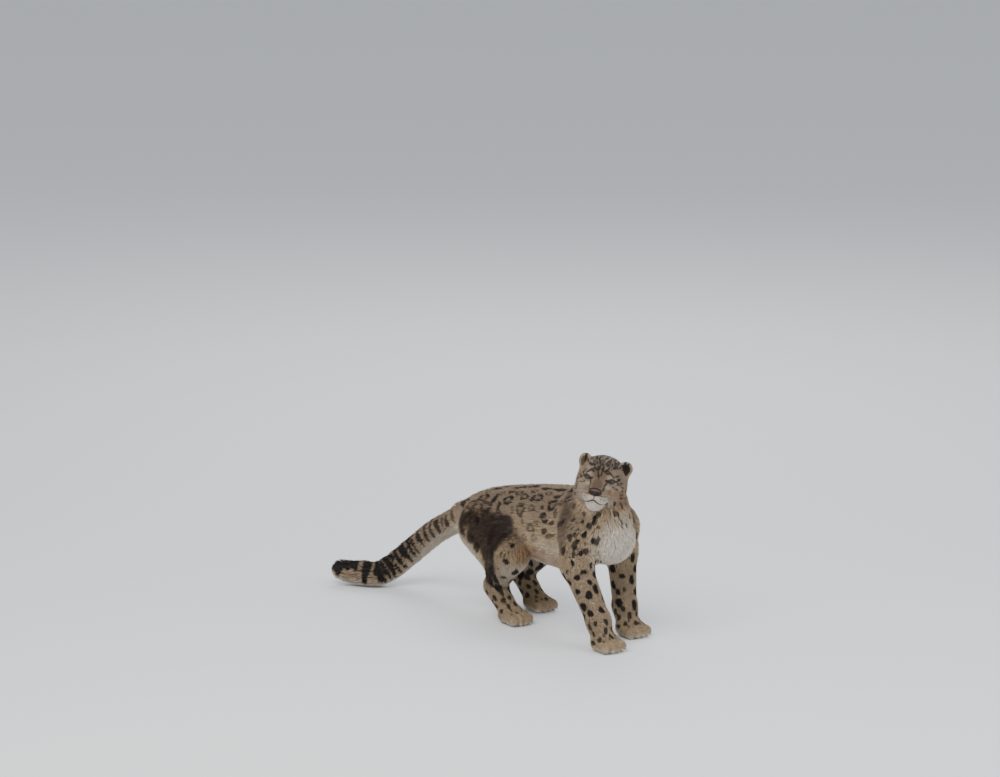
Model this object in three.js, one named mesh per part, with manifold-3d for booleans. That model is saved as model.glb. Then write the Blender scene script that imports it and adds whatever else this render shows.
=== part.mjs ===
import * as THREE from "three";
import { mergeVertices } from "three/addons/utils/BufferGeometryUtils.js";
import Module from "manifold-3d";

// A snow leopard in its winter coat, life size and standing still, with its head turned to the right.
// Millimetres. +X is forward, +Y is the animal's left, +Z is up, and the floor is the plane z = 0.
const wasm = await Module();
wasm.setup();

const point = (x, y, z) => new THREE.Vector3(x, y, z);
const degrees = THREE.MathUtils.degToRad;
const UP = point(0, 0, 1);
const SIDEWAYS = point(0, 1, 0);

// Driving sizes. Each radius is measured to the tips of the coat.
const CHEST_RADIUS = 130;
const BREAST_RADIUS = 96;
const LOIN_RADIUS = 112;
const RUMP_RADIUS = 98;
const TAIL_RADIUS = 44;
const TAIL_TIP_RADIUS = 37;
const FOREARM_RADIUS = 42;
const SHANK_RADIUS = 42;
const PAW_LENGTH = 118;
const SKULL_RADIUS = 56;
const EYE_RADIUS = 14;
const LID_THICKNESS = 2.2;
const GAP = 0.3;

// Moves the whole animal so that the middle of its box stands over the origin.
const STANCE = point(-2, 20, 0);

// Where the legs stand and bend. Side is +1 on the animal's left.
const FORELEGS = {
  right: {
    side: -1,
    shoulder: point(455, -90, 345),
    elbow: point(472, -116, 262),
    wrist: point(560, -98, 92),
    paw: point(600, -97, 0),
  },
  left: {
    side: 1,
    shoulder: point(440, 90, 345),
    elbow: point(425, 112, 262),
    wrist: point(462, 95, 92),
    paw: point(500, 92, 0),
  },
};
const HINDLEGS = {
  right: {
    side: -1,
    hip: point(-40, -60, 294),
    knee: point(140, -106, 226),
    hock: point(50, -93, 108),
    paw: point(138, -89, 0),
  },
  left: {
    side: 1,
    hip: point(-45, 60, 294),
    knee: point(78, 106, 225),
    hock: point(-40, 93, 108),
    paw: point(50, 89, 0),
  },
};

// The middle lines of the trunk and the tail.
const TAIL_BASE = point(-205, 0, 278);
const WITHERS = point(440, -5, 400);
const NAPE = point(500, -40, 488);
const TRUNK_LINE = [
  TAIL_BASE,
  point(-120, 0, 298),
  point(-35, 0, 308),
  point(80, 0, 322),
  point(245, 0, 334),
  point(380, 0, 345),
  point(470, -8, 350),
];
const TRUNK_RADII = [
  TAIL_RADIUS + 4,
  RUMP_RADIUS - 22,
  RUMP_RADIUS,
  LOIN_RADIUS,
  CHEST_RADIUS,
  CHEST_RADIUS,
  BREAST_RADIUS,
];
const TAIL_LINE = [
  point(-140, 0, 288),
  TAIL_BASE,
  point(-280, 1, 239),
  point(-354, -1, 197),
  point(-424, -13, 142),
  point(-473, -40, 93),
  point(-499, -75, 60),
  point(-520, -108, 44),
  point(-553, -133, 43),
  point(-590, -155, 43),
  point(-620, -174, 48),
];

// The head's own axes run forward, left and up from its middle. It looks over the right shoulder.
const HEAD_CENTRE = point(521, -51, 538);
const HEAD_YAW = degrees(-50);
const HEAD_PITCH = degrees(-6);
const HEAD_ROLL = degrees(-10.5);
const headTurn = new THREE.Matrix4()
  .makeRotationZ(HEAD_YAW)
  .multiply(new THREE.Matrix4().makeRotationY(HEAD_PITCH))
  .multiply(new THREE.Matrix4().makeRotationX(HEAD_ROLL))
  .setPosition(HEAD_CENTRE);
const onHead = (forward, left, up) => point(forward, left, up).applyMatrix4(headTurn);
const headWay = (forward, left, up) => point(forward, left, up).transformDirection(headTurn);
const ACROSS = headWay(0, 1, 0);

// A body mass is a row of short cones with round ends along a smooth line through its points.
// Flat squeezes or widens the mass along one direction, and blend is how softly it melts into its neighbours.
const CONES_A_SPAN = 3;
const flatten = (way, factor) => ({ way: way.clone().normalize(), factor });

function mass(points, radii, blend, flat) {
  const line = new THREE.CatmullRomCurve3(points);
  const girth = new THREE.SplineCurve(radii.map((radius, i) => new THREE.Vector2(i, radius)));
  const spans = points.length > 2 ? (points.length - 1) * CONES_A_SPAN : 1;
  const cones = [];
  for (let i = 0; i < spans; i += 1) {
    const from = line.getPoint(i / spans);
    const to = line.getPoint((i + 1) / spans);
    const fromRadius = girth.getPoint(i / spans).y;
    const toRadius = girth.getPoint((i + 1) / spans).y;
    cones.push(cone(from, to, fromRadius, toRadius, flat));
  }
  const centre = line.getPoint(0.5);
  const widest = flat ? Math.max(1, flat.factor) : 1;
  const reach = Math.max(...points.map((p, i) => p.distanceTo(centre) + radii[i] * widest));
  return { cones, centre, reach, blend };
}

function cone(from, to, fromRadius, toRadius, flat) {
  const way = flat ? flat.way : UP;
  const grow = flat ? 1 / flat.factor - 1 : 0;
  const along = to.clone().sub(from);
  along.addScaledVector(way, along.dot(way) * grow);
  const scale = flat ? Math.min(1, flat.factor) : 1;
  return { from, along, fromRadius, toRadius, way, grow, scale, length2: along.lengthSq() };
}

function coneDistance(c, p) {
  let x = p.x - c.from.x;
  let y = p.y - c.from.y;
  let z = p.z - c.from.z;
  const off = (x * c.way.x + y * c.way.y + z * c.way.z) * c.grow;
  x += off * c.way.x;
  y += off * c.way.y;
  z += off * c.way.z;
  const reached = (x * c.along.x + y * c.along.y + z * c.along.z) / c.length2;
  const t = Math.min(1, Math.max(0, reached));
  const radius = c.fromRadius + t * (c.toRadius - c.fromRadius);
  const fromLine = Math.hypot(x - t * c.along.x, y - t * c.along.y, z - t * c.along.z);
  return (fromLine - radius) * c.scale;
}

function smoothMin(a, b, blend) {
  const h = Math.max(blend - Math.abs(a - b), 0) / blend;
  return Math.min(a, b) - (h * h * blend) / 4;
}

// The distance from a point to the surface of all the masses together. It is below zero inside them.
function distanceTo(masses, p) {
  let distance = 1e6;
  for (const m of masses) {
    if (m.centre.distanceTo(p) - m.reach > distance + m.blend) continue;
    const nearest = Math.min(...m.cones.map((c) => coneDistance(c, p)));
    distance = smoothMin(distance, nearest, m.blend);
  }
  return distance;
}

// Trunk, neck, shoulders and haunches.
const NARROW = flatten(SIDEWAYS, 0.87);
const trunk = [
  mass(TRUNK_LINE, TRUNK_RADII, 40, NARROW),
  mass([point(150, 0, 282), point(330, 0, 278)], [66, 74], 60),
];
const neck = [
  mass([WITHERS, NAPE, onHead(-42, 0, -2)], [112, 77, 62], 45),
  mass([point(512, -10, 335), point(524, -36, 410), onHead(-20, 0, -62)], [84, 76, 44], 30),
];
const shoulders = Object.values(FORELEGS).flatMap((leg) => [
  mass([point(leg.shoulder.x - 40, leg.side * 68, 408), leg.shoulder], [46, 60], 50, flatten(SIDEWAYS, 0.8)),
  mass([leg.shoulder, leg.elbow], [60, 51], 40),
]);
const haunches = Object.values(HINDLEGS).flatMap((leg) => {
  const buttock = point(leg.hip.x - 34, leg.side * 60, 262);
  const hamstring = point(leg.hock.x + 2, leg.side * 90, 172);
  return [
    mass([leg.hip, leg.knee], [84, 55], 45, flatten(SIDEWAYS, 0.82)),
    mass([buttock, hamstring], [66, 42], 45, flatten(SIDEWAYS, 0.85)),
  ];
});

// Legs and paws. Each paw has four toes.
const TOE_SPREADS = [-1.5, -0.5, 0.5, 1.5];

function forelegMasses(leg) {
  const toe = point(leg.paw.x + 26, leg.paw.y, 22);
  return [
    mass([leg.elbow, leg.wrist], [FOREARM_RADIUS + 8, FOREARM_RADIUS - 3], 30),
    mass([leg.wrist, point(leg.paw.x - 18, leg.paw.y, 34)], [FOREARM_RADIUS - 3, 38], 20),
    mass([point(leg.paw.x - 14, leg.paw.y, 27), toe], [33, 27], 20, flatten(SIDEWAYS, 1.4)),
    ...toeMasses(leg, 21),
  ];
}

function hindlegMasses(leg) {
  const toe = point(leg.paw.x + 26, leg.paw.y, 21);
  return [
    mass([leg.knee, leg.hock], [55, SHANK_RADIUS - 4], 35, flatten(SIDEWAYS, 0.88)),
    mass([leg.hock, point(leg.paw.x - 22, leg.paw.y, 34)], [SHANK_RADIUS - 5, 34], 20),
    mass([point(leg.paw.x - 20, leg.paw.y, 26), toe], [31, 26], 20, flatten(SIDEWAYS, 1.4)),
    ...toeMasses(leg, 19),
  ];
}

function toeMasses(leg, spread) {
  return TOE_SPREADS.map((place) => {
    const reach = PAW_LENGTH / 2 - 18 - Math.abs(place) * 6;
    const root = point(leg.paw.x + 5, leg.paw.y + place * spread * 0.8, 24);
    const tip = point(leg.paw.x + reach, leg.paw.y + place * spread, 19);
    return mass([root, tip], [20, 19], 9);
  });
}

// The head, from the crown to the chin. The cheeks carry the short ruff.
const WIDE = flatten(ACROSS, 1.16);
const headMasses = [
  mass([onHead(-42, 0, 8), onHead(0, 0, 16)], [SKULL_RADIUS + 1, SKULL_RADIUS], 25, WIDE),
  mass([onHead(4, 0, 28), onHead(32, 0, 20)], [40, 32], 20, flatten(ACROSS, 1.25)),
  ...[-1, 1].flatMap((side) => [
    mass([onHead(-16, side * 46, -16), onHead(24, side * 41, -26)], [36, 28], 22),
    mass([onHead(-12, side * 46, -48), onHead(26, side * 32, -58)], [34, 25], 22),
    mass([onHead(58, side * 19, -48), onHead(73, side * 17, -53)], [23, 20], 9),
    mass([onHead(32, side * 40, 20), onHead(42, side * 22, 20)], [12, 13], 10),
  ]),
  mass([onHead(28, 0, 2), onHead(78, 0, -25)], [26, 16], 16, flatten(ACROSS, 1.4)),
  mass([onHead(30, 0, -34), onHead(64, 0, -46)], [38, 28], 16, flatten(ACROSS, 1.12)),
  mass([onHead(-4, 0, -58), onHead(50, 0, -72)], [38, 26], 18, flatten(ACROSS, 1.2)),
  mass([onHead(54, 0, -76), onHead(66, 0, -79)], [20, 18], 12, flatten(ACROSS, 1.15)),
];
const earMass = (side) =>
  mass([onHead(-14, side * 54, 22), onHead(-20, side * 64, 40)], [27, 23], 12,
    flatten(headWay(0.92, side * 0.4, 0), 0.5));
const earMasses = [earMass(-1), earMass(1)];

const tailMasses = [
  mass(TAIL_LINE, TAIL_LINE.map((_, i) => (i > 8 ? TAIL_TIP_RADIUS + (10 - i) * 4 : TAIL_RADIUS)), 30),
];
const legs = [
  ...Object.values(FORELEGS).flatMap(forelegMasses),
  ...Object.values(HINDLEGS).flatMap(hindlegMasses),
];
const body = [...trunk, ...neck, ...shoulders, ...haunches, ...legs, ...headMasses, ...tailMasses];

// The floor cuts the soles and the underside of the tail flat.
const bodyDistance = (p) => Math.max(distanceTo(body, p), -p.z);

// Builds the solids. A capsule is laid along a line, and its points slide out until they meet the surface.
const FLOOR_SNAP = 0.4;
const MARCH_STEPS = 60;

function march(from, way, surface, reach = 1e3) {
  const p = from.clone();
  let gone = 0;
  for (let step = 0; step < MARCH_STEPS && gone < reach; step += 1) {
    const left = -surface(p);
    if (Math.abs(left) < 0.02) break;
    gone = Math.min(reach, gone + left * 0.9);
    p.copy(from).addScaledVector(way, gone);
  }
  return p;
}

function wrap(line, surface, { around, along, caps = 4, reach = 1e3, side = SIDEWAYS }) {
  const curve = new THREE.CatmullRomCurve3(line);
  const shape = new THREE.CapsuleGeometry(1, 1, caps, around, along);
  shape.deleteAttribute("normal");
  shape.deleteAttribute("uv");
  const geometry = mergeVertices(shape);
  const places = geometry.attributes.position;
  for (let i = 0; i < places.count; i += 1) {
    const raw = point(places.getX(i), places.getY(i), places.getZ(i));
    const t = THREE.MathUtils.clamp(raw.y + 0.5, 0, 1);
    const forward = curve.getTangentAt(t);
    const across = side.clone().addScaledVector(forward, -side.dot(forward)).normalize();
    const third = across.clone().cross(forward);
    const way = across.multiplyScalar(raw.x).addScaledVector(third, raw.z);
    way.addScaledVector(forward, raw.y + 0.5 - t).normalize();
    const p = march(curve.getPointAt(t), way, surface, reach);
    places.setXYZ(i, p.x, p.y, Math.abs(p.z) < FLOOR_SNAP ? 0 : p.z);
  }
  return toSolid(geometry);
}

function toSolid(source) {
  const bare = source.clone();
  for (const name of Object.keys(bare.attributes)) {
    if (name !== "position") bare.deleteAttribute(name);
  }
  const merged = mergeVertices(bare);
  return new wasm.Manifold(new wasm.Mesh({
    numProp: 3,
    vertProperties: new Float32Array(merged.attributes.position.array),
    triVerts: new Uint32Array(merged.index.array),
  }));
}

// Turns a shape's own axes onto three given directions and moves it to a place.
function place(geometry, at, xWay, yWay) {
  const x = xWay.clone().normalize();
  const y = yWay.clone().addScaledVector(x, -yWay.dot(x)).normalize();
  const turn = new THREE.Matrix4().makeBasis(x, y, x.clone().cross(y)).setPosition(at);
  return geometry.applyMatrix4(turn);
}

// A block whose near face lies at a point. It reaches out from there and parts one node from the next.
function block(at, way, side, [depth, width, height], grow = 0) {
  const box = new THREE.BoxGeometry(depth + grow, width + 2 * grow, height + 2 * grow);
  box.translate((depth - grow) / 2, 0, 0);
  return toSolid(place(box, at, way, side));
}

function ball(at, radius, stretch = point(1, 1, 1), xWay = headWay(1, 0, 0), yWay = ACROSS) {
  const sphere = new THREE.SphereGeometry(radius, 14, 9).scale(stretch.x, stretch.y, stretch.z);
  return toSolid(place(sphere, at, xWay, yWay));
}

// A seeded draw, so that every build is alike.
let seed = 20;
function draw(low, high) {
  seed = (seed * 16807) % 2147483647;
  return low + ((high - low) * (seed % 10000)) / 10000;
}

// The direction in which the surface faces, and the nearest point of the surface.
function facing(p) {
  const here = bodyDistance(p);
  const [x, y, z] = [point(1, 0, 0), point(0, 1, 0), UP.clone()].map((step) => bodyDistance(step.add(p)) - here);
  return point(x, y, z).normalize();
}
function toSurface(start) {
  const p = start.clone();
  for (let step = 0; step < 5; step += 1) p.addScaledVector(facing(p), -bodyDistance(p));
  return p;
}

// A lock of the long coat: a flat tapered blade that follows the surface and lifts off at the tip.
const LOCK_SINK = 12;
function lock(from, way, lie, { length, width, thickness, lift, sag = 0 }) {
  const root = march(from, way, bodyDistance);
  const out = facing(root);
  const along = lie.clone().addScaledVector(out, -lie.dot(out)).normalize();
  const reach = length * draw(0.85, 1.15);
  const middle = toSurface(root.clone().addScaledVector(along, reach * 0.5));
  const tip = toSurface(root.clone().addScaledVector(along, reach));
  const tipLift = lift * draw(0.6, 1.2);
  const path = new THREE.CatmullRomCurve3([
    root.clone().addScaledVector(out, -LOCK_SINK),
    middle.addScaledVector(facing(middle), lift * 0.7),
    tip.addScaledVector(facing(tip), tipLift).addScaledVector(UP, -sag),
  ]);
  const blade = new THREE.ConeGeometry(1, 1, 4, 3);
  const places = blade.attributes.position;
  for (let i = 0; i < places.count; i += 1) {
    const s = places.getY(i) + 0.5;
    const fullness = s < 1 ? (1 - s) ** -0.35 : 0;
    const forward = path.getTangent(s);
    const across = along.clone().cross(out).normalize();
    const third = across.clone().cross(forward).normalize();
    const p = path.getPoint(s);
    p.addScaledVector(across, (places.getX(i) * fullness * width) / 2);
    p.addScaledVector(third, (places.getZ(i) * fullness * thickness) / 2);
    places.setXYZ(i, p.x, p.y, p.z);
  }
  blade.deleteAttribute("normal");
  blade.deleteAttribute("uv");
  return toSolid(blade);
}
const fuse = (solid, locks) => wasm.Manifold.union([solid, ...locks]);

// A way out from a centre, from its turn round the upright axis and its rise, both in degrees.
function bearing(turn, rise) {
  const flat = Math.cos(degrees(rise));
  return point(flat * Math.cos(degrees(turn)), flat * Math.sin(degrees(turn)), Math.sin(degrees(rise)));
}

function largest(solid) {
  return solid.decompose().reduce((best, next) => (next.volume() > best.volume() ? next : best));
}

// The planes where one node ends and the next begins. Each has a block that holds the whole of the outer node.
const NECK_PLANE = {
  at: point(455, -10, 425),
  way: point(0.42, -0.15, 0.9),
  side: SIDEWAYS,
  size: [320, 420, 420],
};
const HEAD_PLANE = {
  at: onHead(0, 0, -84),
  way: headWay(0.45, 0, 0.89),
  side: ACROSS,
  size: [320, 360, 360],
};
const tailCurve = new THREE.CatmullRomCurve3(TAIL_LINE);
const TAIL_CUTS = [0.085, 0.4, 0.7];
const TAIL_BLOCKS = [[300, 170, 170], [300, 170, 170], [340, 340, 300]];
const tailPlanes = TAIL_CUTS.map((u, i) => {
  return { at: tailCurve.getPointAt(u), way: tailCurve.getTangentAt(u), side: SIDEWAYS, size: TAIL_BLOCKS[i] };
});

function forelegPlane(leg) {
  const way = leg.wrist.clone().sub(leg.elbow).normalize();
  return { at: leg.elbow.clone().addScaledVector(way, 22), way, side: SIDEWAYS, size: [400, 124, 150] };
}
function hindlegPlane(leg) {
  const at = point((leg.hip.x + leg.knee.x) / 2 + 18, leg.side * 115, 232);
  return { at, way: point(0.42, 0, -0.91), side: SIDEWAYS, size: [400, 134, 262] };
}
function pawPlane(leg) {
  const at = point(leg.paw.x, leg.paw.y, 62);
  return { at, way: point(0.2, 0, -0.98), side: SIDEWAYS, size: [120, 130, 190] };
}

const outer = (plane) => block(plane.at, plane.way, plane.side, plane.size);
const beyond = (plane) => block(plane.at, plane.way, plane.side, plane.size, GAP);
const keep = (solid, plane) => solid.intersect(outer(plane));
const cut = (solid, ...planes) => planes.reduce((rest, plane) => rest.subtract(beyond(plane)), solid);

// The torso, from the breast to the root of the tail.
const legPlanes = [...Object.values(FORELEGS).map(forelegPlane), ...Object.values(HINDLEGS).map(hindlegPlane)];
const torsoWrap = wrap(TRUNK_LINE, bodyDistance, { around: 28, along: 21, caps: 5, reach: 205 });

// The belly's fringe hangs back and down, the breast's locks hang down, and the haunches' lie down and back.
const BELLY_LOCK = { length: 66, width: 52, thickness: 14, lift: 10, sag: 4 };
const BREAST_LOCK = { length: 80, width: 62, thickness: 15, lift: 10 };
const HAUNCH_LOCK = { length: 62, width: 48, thickness: 13, lift: 9 };
const bellyLocks = [0, 1, 2, 3, 4, 5].flatMap((row) =>
  [-54, -18, 18, 54].map((swing) => {
    const x = 172 + row * 42 + draw(-8, 8);
    const way = point(0, Math.sin(degrees(swing)), -Math.cos(degrees(swing)));
    return lock(point(x, 0, 315), way, point(-0.8, 0, -0.45), BELLY_LOCK);
  }));
const breastLocks = [14, -10, -36].flatMap((rise, row) =>
  [-54, -27, 0, 27, 54].map((turn) =>
    lock(point(436, -6, 348), bearing(turn + row * 9 - 9, rise), point(-0.1, 0, -1), BREAST_LOCK)));
const haunchLocks = Object.values(HINDLEGS).flatMap((leg) =>
  [[112, 4], [138, 4], [164, 0], [120, -24], [148, -26]].map(([turn, rise]) =>
    lock(leg.hip, bearing(leg.side * turn, rise), point(-0.35, 0, -1), HAUNCH_LOCK)));
const torsoCoat = fuse(torsoWrap, [...bellyLocks, ...breastLocks, ...haunchLocks]);
const torso = cut(torsoCoat, NECK_PLANE, ...legPlanes, tailPlanes[0]);

// The neck, up to a plane behind the jaws.
const neckLine = [point(425, -2, 370), WITHERS, NAPE, onHead(-10, 0, -10)];
const neckWrap = wrap(neckLine, bodyDistance, { around: 26, along: 9, caps: 3, reach: 150 });
const NECK_LOCK = { length: 72, width: 58, thickness: 14, lift: 10 };
const neckLocks = [-125, -95, -65, -35, -5, 25, 55].map((turn) =>
  lock(point(508, -32, 440), bearing(turn, 4), point(0, 0, -1), NECK_LOCK));
const neckNode = cut(keep(fuse(neckWrap, neckLocks), NECK_PLANE), HEAD_PLANE);

// The head: the skull first, then the lids, the eyeballs' sockets, the mouth and the seat of the nose.
const headDistance = (p) => distanceTo([...neck, ...headMasses], p);
const headLine = [onHead(-44, 0, 0), onHead(9, 0, -19), onHead(62, 0, -38)];
const headWrap = wrap(headLine, headDistance, { around: 30, along: 8, caps: 7, reach: 108, side: ACROSS });

const EYE_OPENING = { width: 23, height: 14 };
const MOUTH_DEPTH = 2;
const CLEFT_DEPTH = 1.4;
const eyePlace = (side) => onHead(41, side * 36, 4);
const eyeWay = (side) => headWay(0.94, side * 0.3, 0.08);

function eyeOpening(side) {
  const half = EYE_OPENING.width / 2;
  const lift = EYE_OPENING.height;
  const almond = new THREE.Shape();
  almond.moveTo(-half, -side);
  almond.quadraticCurveTo(0, lift, half, side);
  almond.quadraticCurveTo(0, -lift, -half, -side);
  const prism = new THREE.ExtrudeGeometry(almond, { depth: 30, bevelEnabled: false, curveSegments: 6 });
  const out = eyeWay(side);
  const up = headWay(0, 0, 1);
  return toSolid(place(prism, eyePlace(side), up.clone().cross(out), up));
}

function groove(points, radius) {
  const section = new THREE.Shape().absarc(0, 0, radius, 0, 2 * Math.PI);
  const extrudePath = new THREE.CatmullRomCurve3(points);
  const options = { steps: 9, curveSegments: 2, extrudePath, bevelEnabled: false };
  return toSolid(new THREE.ExtrudeGeometry(section, options));
}

// The mouth's line and the cleft under the nose are followed from a point between the jaws.
const MOUTH_CENTRE = onHead(20, 0, -50);
function onFace(forward, left, up) {
  const way = onHead(forward, left, up).sub(MOUTH_CENTRE).normalize();
  return march(MOUTH_CENTRE, way, headDistance);
}

const NOSE = { at: onHead(87, 0, -33), half: point(11, 17, 11) };
const NOSTRIL_HALF = point(6, 3.6, 2.8);
const nostril = (side) => ball(onHead(98, side * 8, -37), 1, NOSTRIL_HALF, headWay(1, side * 0.3, 0));
const mouthLine = [
  onFace(42, 38, -71),
  onFace(64, 27, -71),
  onFace(80, 12, -68),
  onFace(86, 0, -63),
  onFace(80, -12, -68),
  onFace(64, -27, -71),
  onFace(42, -38, -71),
];
const lipCleft = [onFace(86, 0, -64), onFace(90, 0, -54), onFace(92, 0, -44)];

// The ruff behind the cheeks.
const RUFF_LOCK = { length: 56, width: 42, thickness: 12, lift: 9 };
const ruffLocks = [-1, 1].flatMap((side) =>
  [0.3, -0.15].flatMap((front, row) =>
    [4, 26, 48].map((drop) => {
      const swing = degrees(drop + row * 12);
      const way = headWay(front, side * Math.cos(swing), -Math.sin(swing)).normalize();
      return lock(onHead(-6, 0, -26), way, headWay(-0.6, side * 0.15, -0.75), RUFF_LOCK);
    })));
let headNode = keep(fuse(headWrap, ruffLocks), HEAD_PLANE);
for (const side of [-1, 1]) headNode = headNode.add(ball(eyePlace(side), EYE_RADIUS + LID_THICKNESS));
for (const side of [-1, 1]) headNode = headNode.subtract(ball(eyePlace(side), EYE_RADIUS + GAP));
for (const side of [-1, 1]) headNode = headNode.subtract(eyeOpening(side));
headNode = headNode.subtract(groove(mouthLine, MOUTH_DEPTH)).subtract(groove(lipCleft, CLEFT_DEPTH));
headNode = headNode.subtract(ball(NOSE.at, 1, NOSE.half.clone().addScalar(GAP)));

const eyeball = (side) => ball(eyePlace(side), EYE_RADIUS);
const nose = ball(NOSE.at, 1, NOSE.half).subtract(nostril(-1)).subtract(nostril(1));

// The ears: short and round, each with a cup in front. The head has a pocket that each root fits.
const EAR_CUP_HALF = point(11, 16, 17);
const earFace = (side) => headWay(0.92, side * 0.4, 0);
function earWrap(side, looseness) {
  const surface = (p) => distanceTo([earMass(side)], p) - looseness;
  const line = [onHead(-12, side * 48, 14), onHead(-14, side * 54, 24), onHead(-19, side * 62, 38)];
  return wrap(line, surface, { around: 12, along: 3, caps: 3, side: earFace(side) });
}
function ear(side) {
  const cup = ball(onHead(-7, side * 68, 42), 1, EAR_CUP_HALF, earFace(side), headWay(-0.4, side * 0.92, 0));
  return earWrap(side, 0).subtract(cup);
}
for (const side of [-1, 1]) headNode = headNode.subtract(earWrap(side, GAP));

// Legs and paws.
function foreleg(leg) {
  const ankle = point(leg.paw.x - 18, leg.paw.y, 30);
  const start = leg.elbow.clone().lerp(leg.wrist, -0.12);
  const line = [start, leg.elbow, leg.wrist, ankle];
  const limb = wrap(line, bodyDistance, { around: 18, along: 12, caps: 3, reach: 80 });
  return cut(keep(limb, forelegPlane(leg)), pawPlane(leg));
}
function hindleg(leg) {
  const middle = (leg.hip.x + leg.knee.x) / 2;
  const line = [
    point(middle + 24, leg.side * 92, 290),
    point(middle + 38, leg.side * 98, 226),
    leg.knee.clone().lerp(leg.hock, 0.5).add(point(-14, 0, 0)),
    leg.hock.clone().add(point(24, 0, 0)),
    point(leg.paw.x - 20, leg.paw.y, 32),
  ];
  const limb = wrap(line, bodyDistance, { around: 18, along: 20, caps: 3, reach: 115 });
  return cut(keep(limb, hindlegPlane(leg)), pawPlane(leg));
}
function paw(leg) {
  const line = [point(leg.paw.x - 22, leg.paw.y, 28), point(leg.paw.x + 22, leg.paw.y, 20)];
  return keep(wrap(line, bodyDistance, { around: 20, along: 5, caps: 4, reach: 90 }), pawPlane(leg));
}

// The tail in three lengths. Rows of locks lie along it, each row between the locks of the one before.
const TAIL_LOCK = { length: 84, width: 62, thickness: 14, lift: 1 };
const TAIL_RELIEF = 3;
const tailDistance = (p) => bodyDistance(p) + TAIL_RELIEF;
const TAIL_ROW_STEP = 0.112;
const LOCKS_A_ROW = 4;
const ABOVE_FLOOR = { at: point(0, 0, 0), way: UP, side: SIDEWAYS, size: [900, 1200, 1800] };
function tailLocks(from, to) {
  const locks = [];
  for (let row = Math.ceil(from / TAIL_ROW_STEP); row * TAIL_ROW_STEP < Math.min(to, 0.95); row += 1) {
    const u = row * TAIL_ROW_STEP;
    const centre = tailCurve.getPointAt(u);
    const lie = tailCurve.getTangentAt(u);
    const across = SIDEWAYS.clone().cross(lie).normalize();
    for (let k = 0; k < LOCKS_A_ROW; k += 1) {
      const turn = ((k + (row % 2) / 2) / LOCKS_A_ROW) * 2 * Math.PI;
      const way = across.clone().applyAxisAngle(lie, turn);
      if (centre.z + TAIL_RADIUS * way.z > 12) locks.push(lock(centre, way, lie, TAIL_LOCK));
    }
  }
  return locks;
}
function tailLength(i) {
  const from = TAIL_CUTS[i] - 0.06;
  const to = i < 2 ? TAIL_CUTS[i + 1] + 0.04 : 1;
  const line = [0, 0.2, 0.4, 0.6, 0.8, 1].map((t) => tailCurve.getPointAt(THREE.MathUtils.lerp(from, to, t)));
  const whole = wrap(line, tailDistance, { around: 12, along: 8, caps: i < 2 ? 2 : 4, reach: 90 });
  const inner = keep(keep(fuse(whole, tailLocks(from, to)), tailPlanes[i]), ABOVE_FLOOR);
  return i < 2 ? cut(inner, tailPlanes[i + 1]) : inner;
}

// The nodes, each a mesh of its own set at its middle.
const COAT = { color: 0xb9ab98, roughness: 0.95, metalness: 0 };
const PALE_COAT = { color: 0xd6cdbf, roughness: 0.95, metalness: 0 };
const NOSE_LEATHER = { color: 0x7a5048, roughness: 0.55, metalness: 0 };
const EYE = { color: 0x9aa68c, roughness: 0.12, metalness: 0 };
const leopard = new THREE.Group();
leopard.position.copy(STANCE);

function addNode(name, solid, finish) {
  const { vertProperties, triVerts } = largest(solid).getMesh();
  const geometry = new THREE.BufferGeometry();
  geometry.setAttribute("position", new THREE.BufferAttribute(new Float32Array(vertProperties), 3));
  geometry.setIndex([...triVerts]);
  geometry.computeBoundingBox();
  const centre = geometry.boundingBox.getCenter(point(0, 0, 0)).round();
  geometry.translate(-centre.x, -centre.y, -centre.z);
  geometry.computeVertexNormals();
  const mesh = new THREE.Mesh(geometry, new THREE.MeshStandardMaterial(finish));
  mesh.name = name;
  mesh.position.copy(centre);
  leopard.add(mesh);
}

addNode("torso", torso, COAT);
addNode("neck", neckNode, COAT);
addNode("head", headNode, COAT);
addNode("nose", nose, NOSE_LEATHER);
for (const [word, side] of [["right", -1], ["left", 1]]) {
  addNode(`eye_${word}`, eyeball(side), EYE);
  addNode(`ear_${word}`, ear(side), PALE_COAT);
  addNode(`foreleg_${word}`, foreleg(FORELEGS[word]), COAT);
  addNode(`forepaw_${word}`, paw(FORELEGS[word]), PALE_COAT);
  addNode(`hindleg_${word}`, hindleg(HINDLEGS[word]), COAT);
  addNode(`hindpaw_${word}`, paw(HINDLEGS[word]), PALE_COAT);
}
["tail_root", "tail_middle", "tail_tip"].forEach((name, i) => addNode(name, tailLength(i), COAT));

export default leopard;
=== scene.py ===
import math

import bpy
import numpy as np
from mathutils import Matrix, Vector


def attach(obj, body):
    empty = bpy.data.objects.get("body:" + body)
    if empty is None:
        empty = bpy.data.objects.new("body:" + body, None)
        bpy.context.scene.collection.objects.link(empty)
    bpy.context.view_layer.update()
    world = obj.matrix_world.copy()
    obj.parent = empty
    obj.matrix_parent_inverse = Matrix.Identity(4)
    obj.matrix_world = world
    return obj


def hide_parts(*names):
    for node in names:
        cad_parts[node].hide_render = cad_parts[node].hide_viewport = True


bl_info = {
    "name": "Snow leopard",
    "version": (1, 0, 0),
    "blender": (4, 5, 0),
    "location": "3D View > Sidebar > Leopard",
    "description": "Dresses the life-size snow leopard in its winter coat",
    "category": "Object",
}

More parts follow.
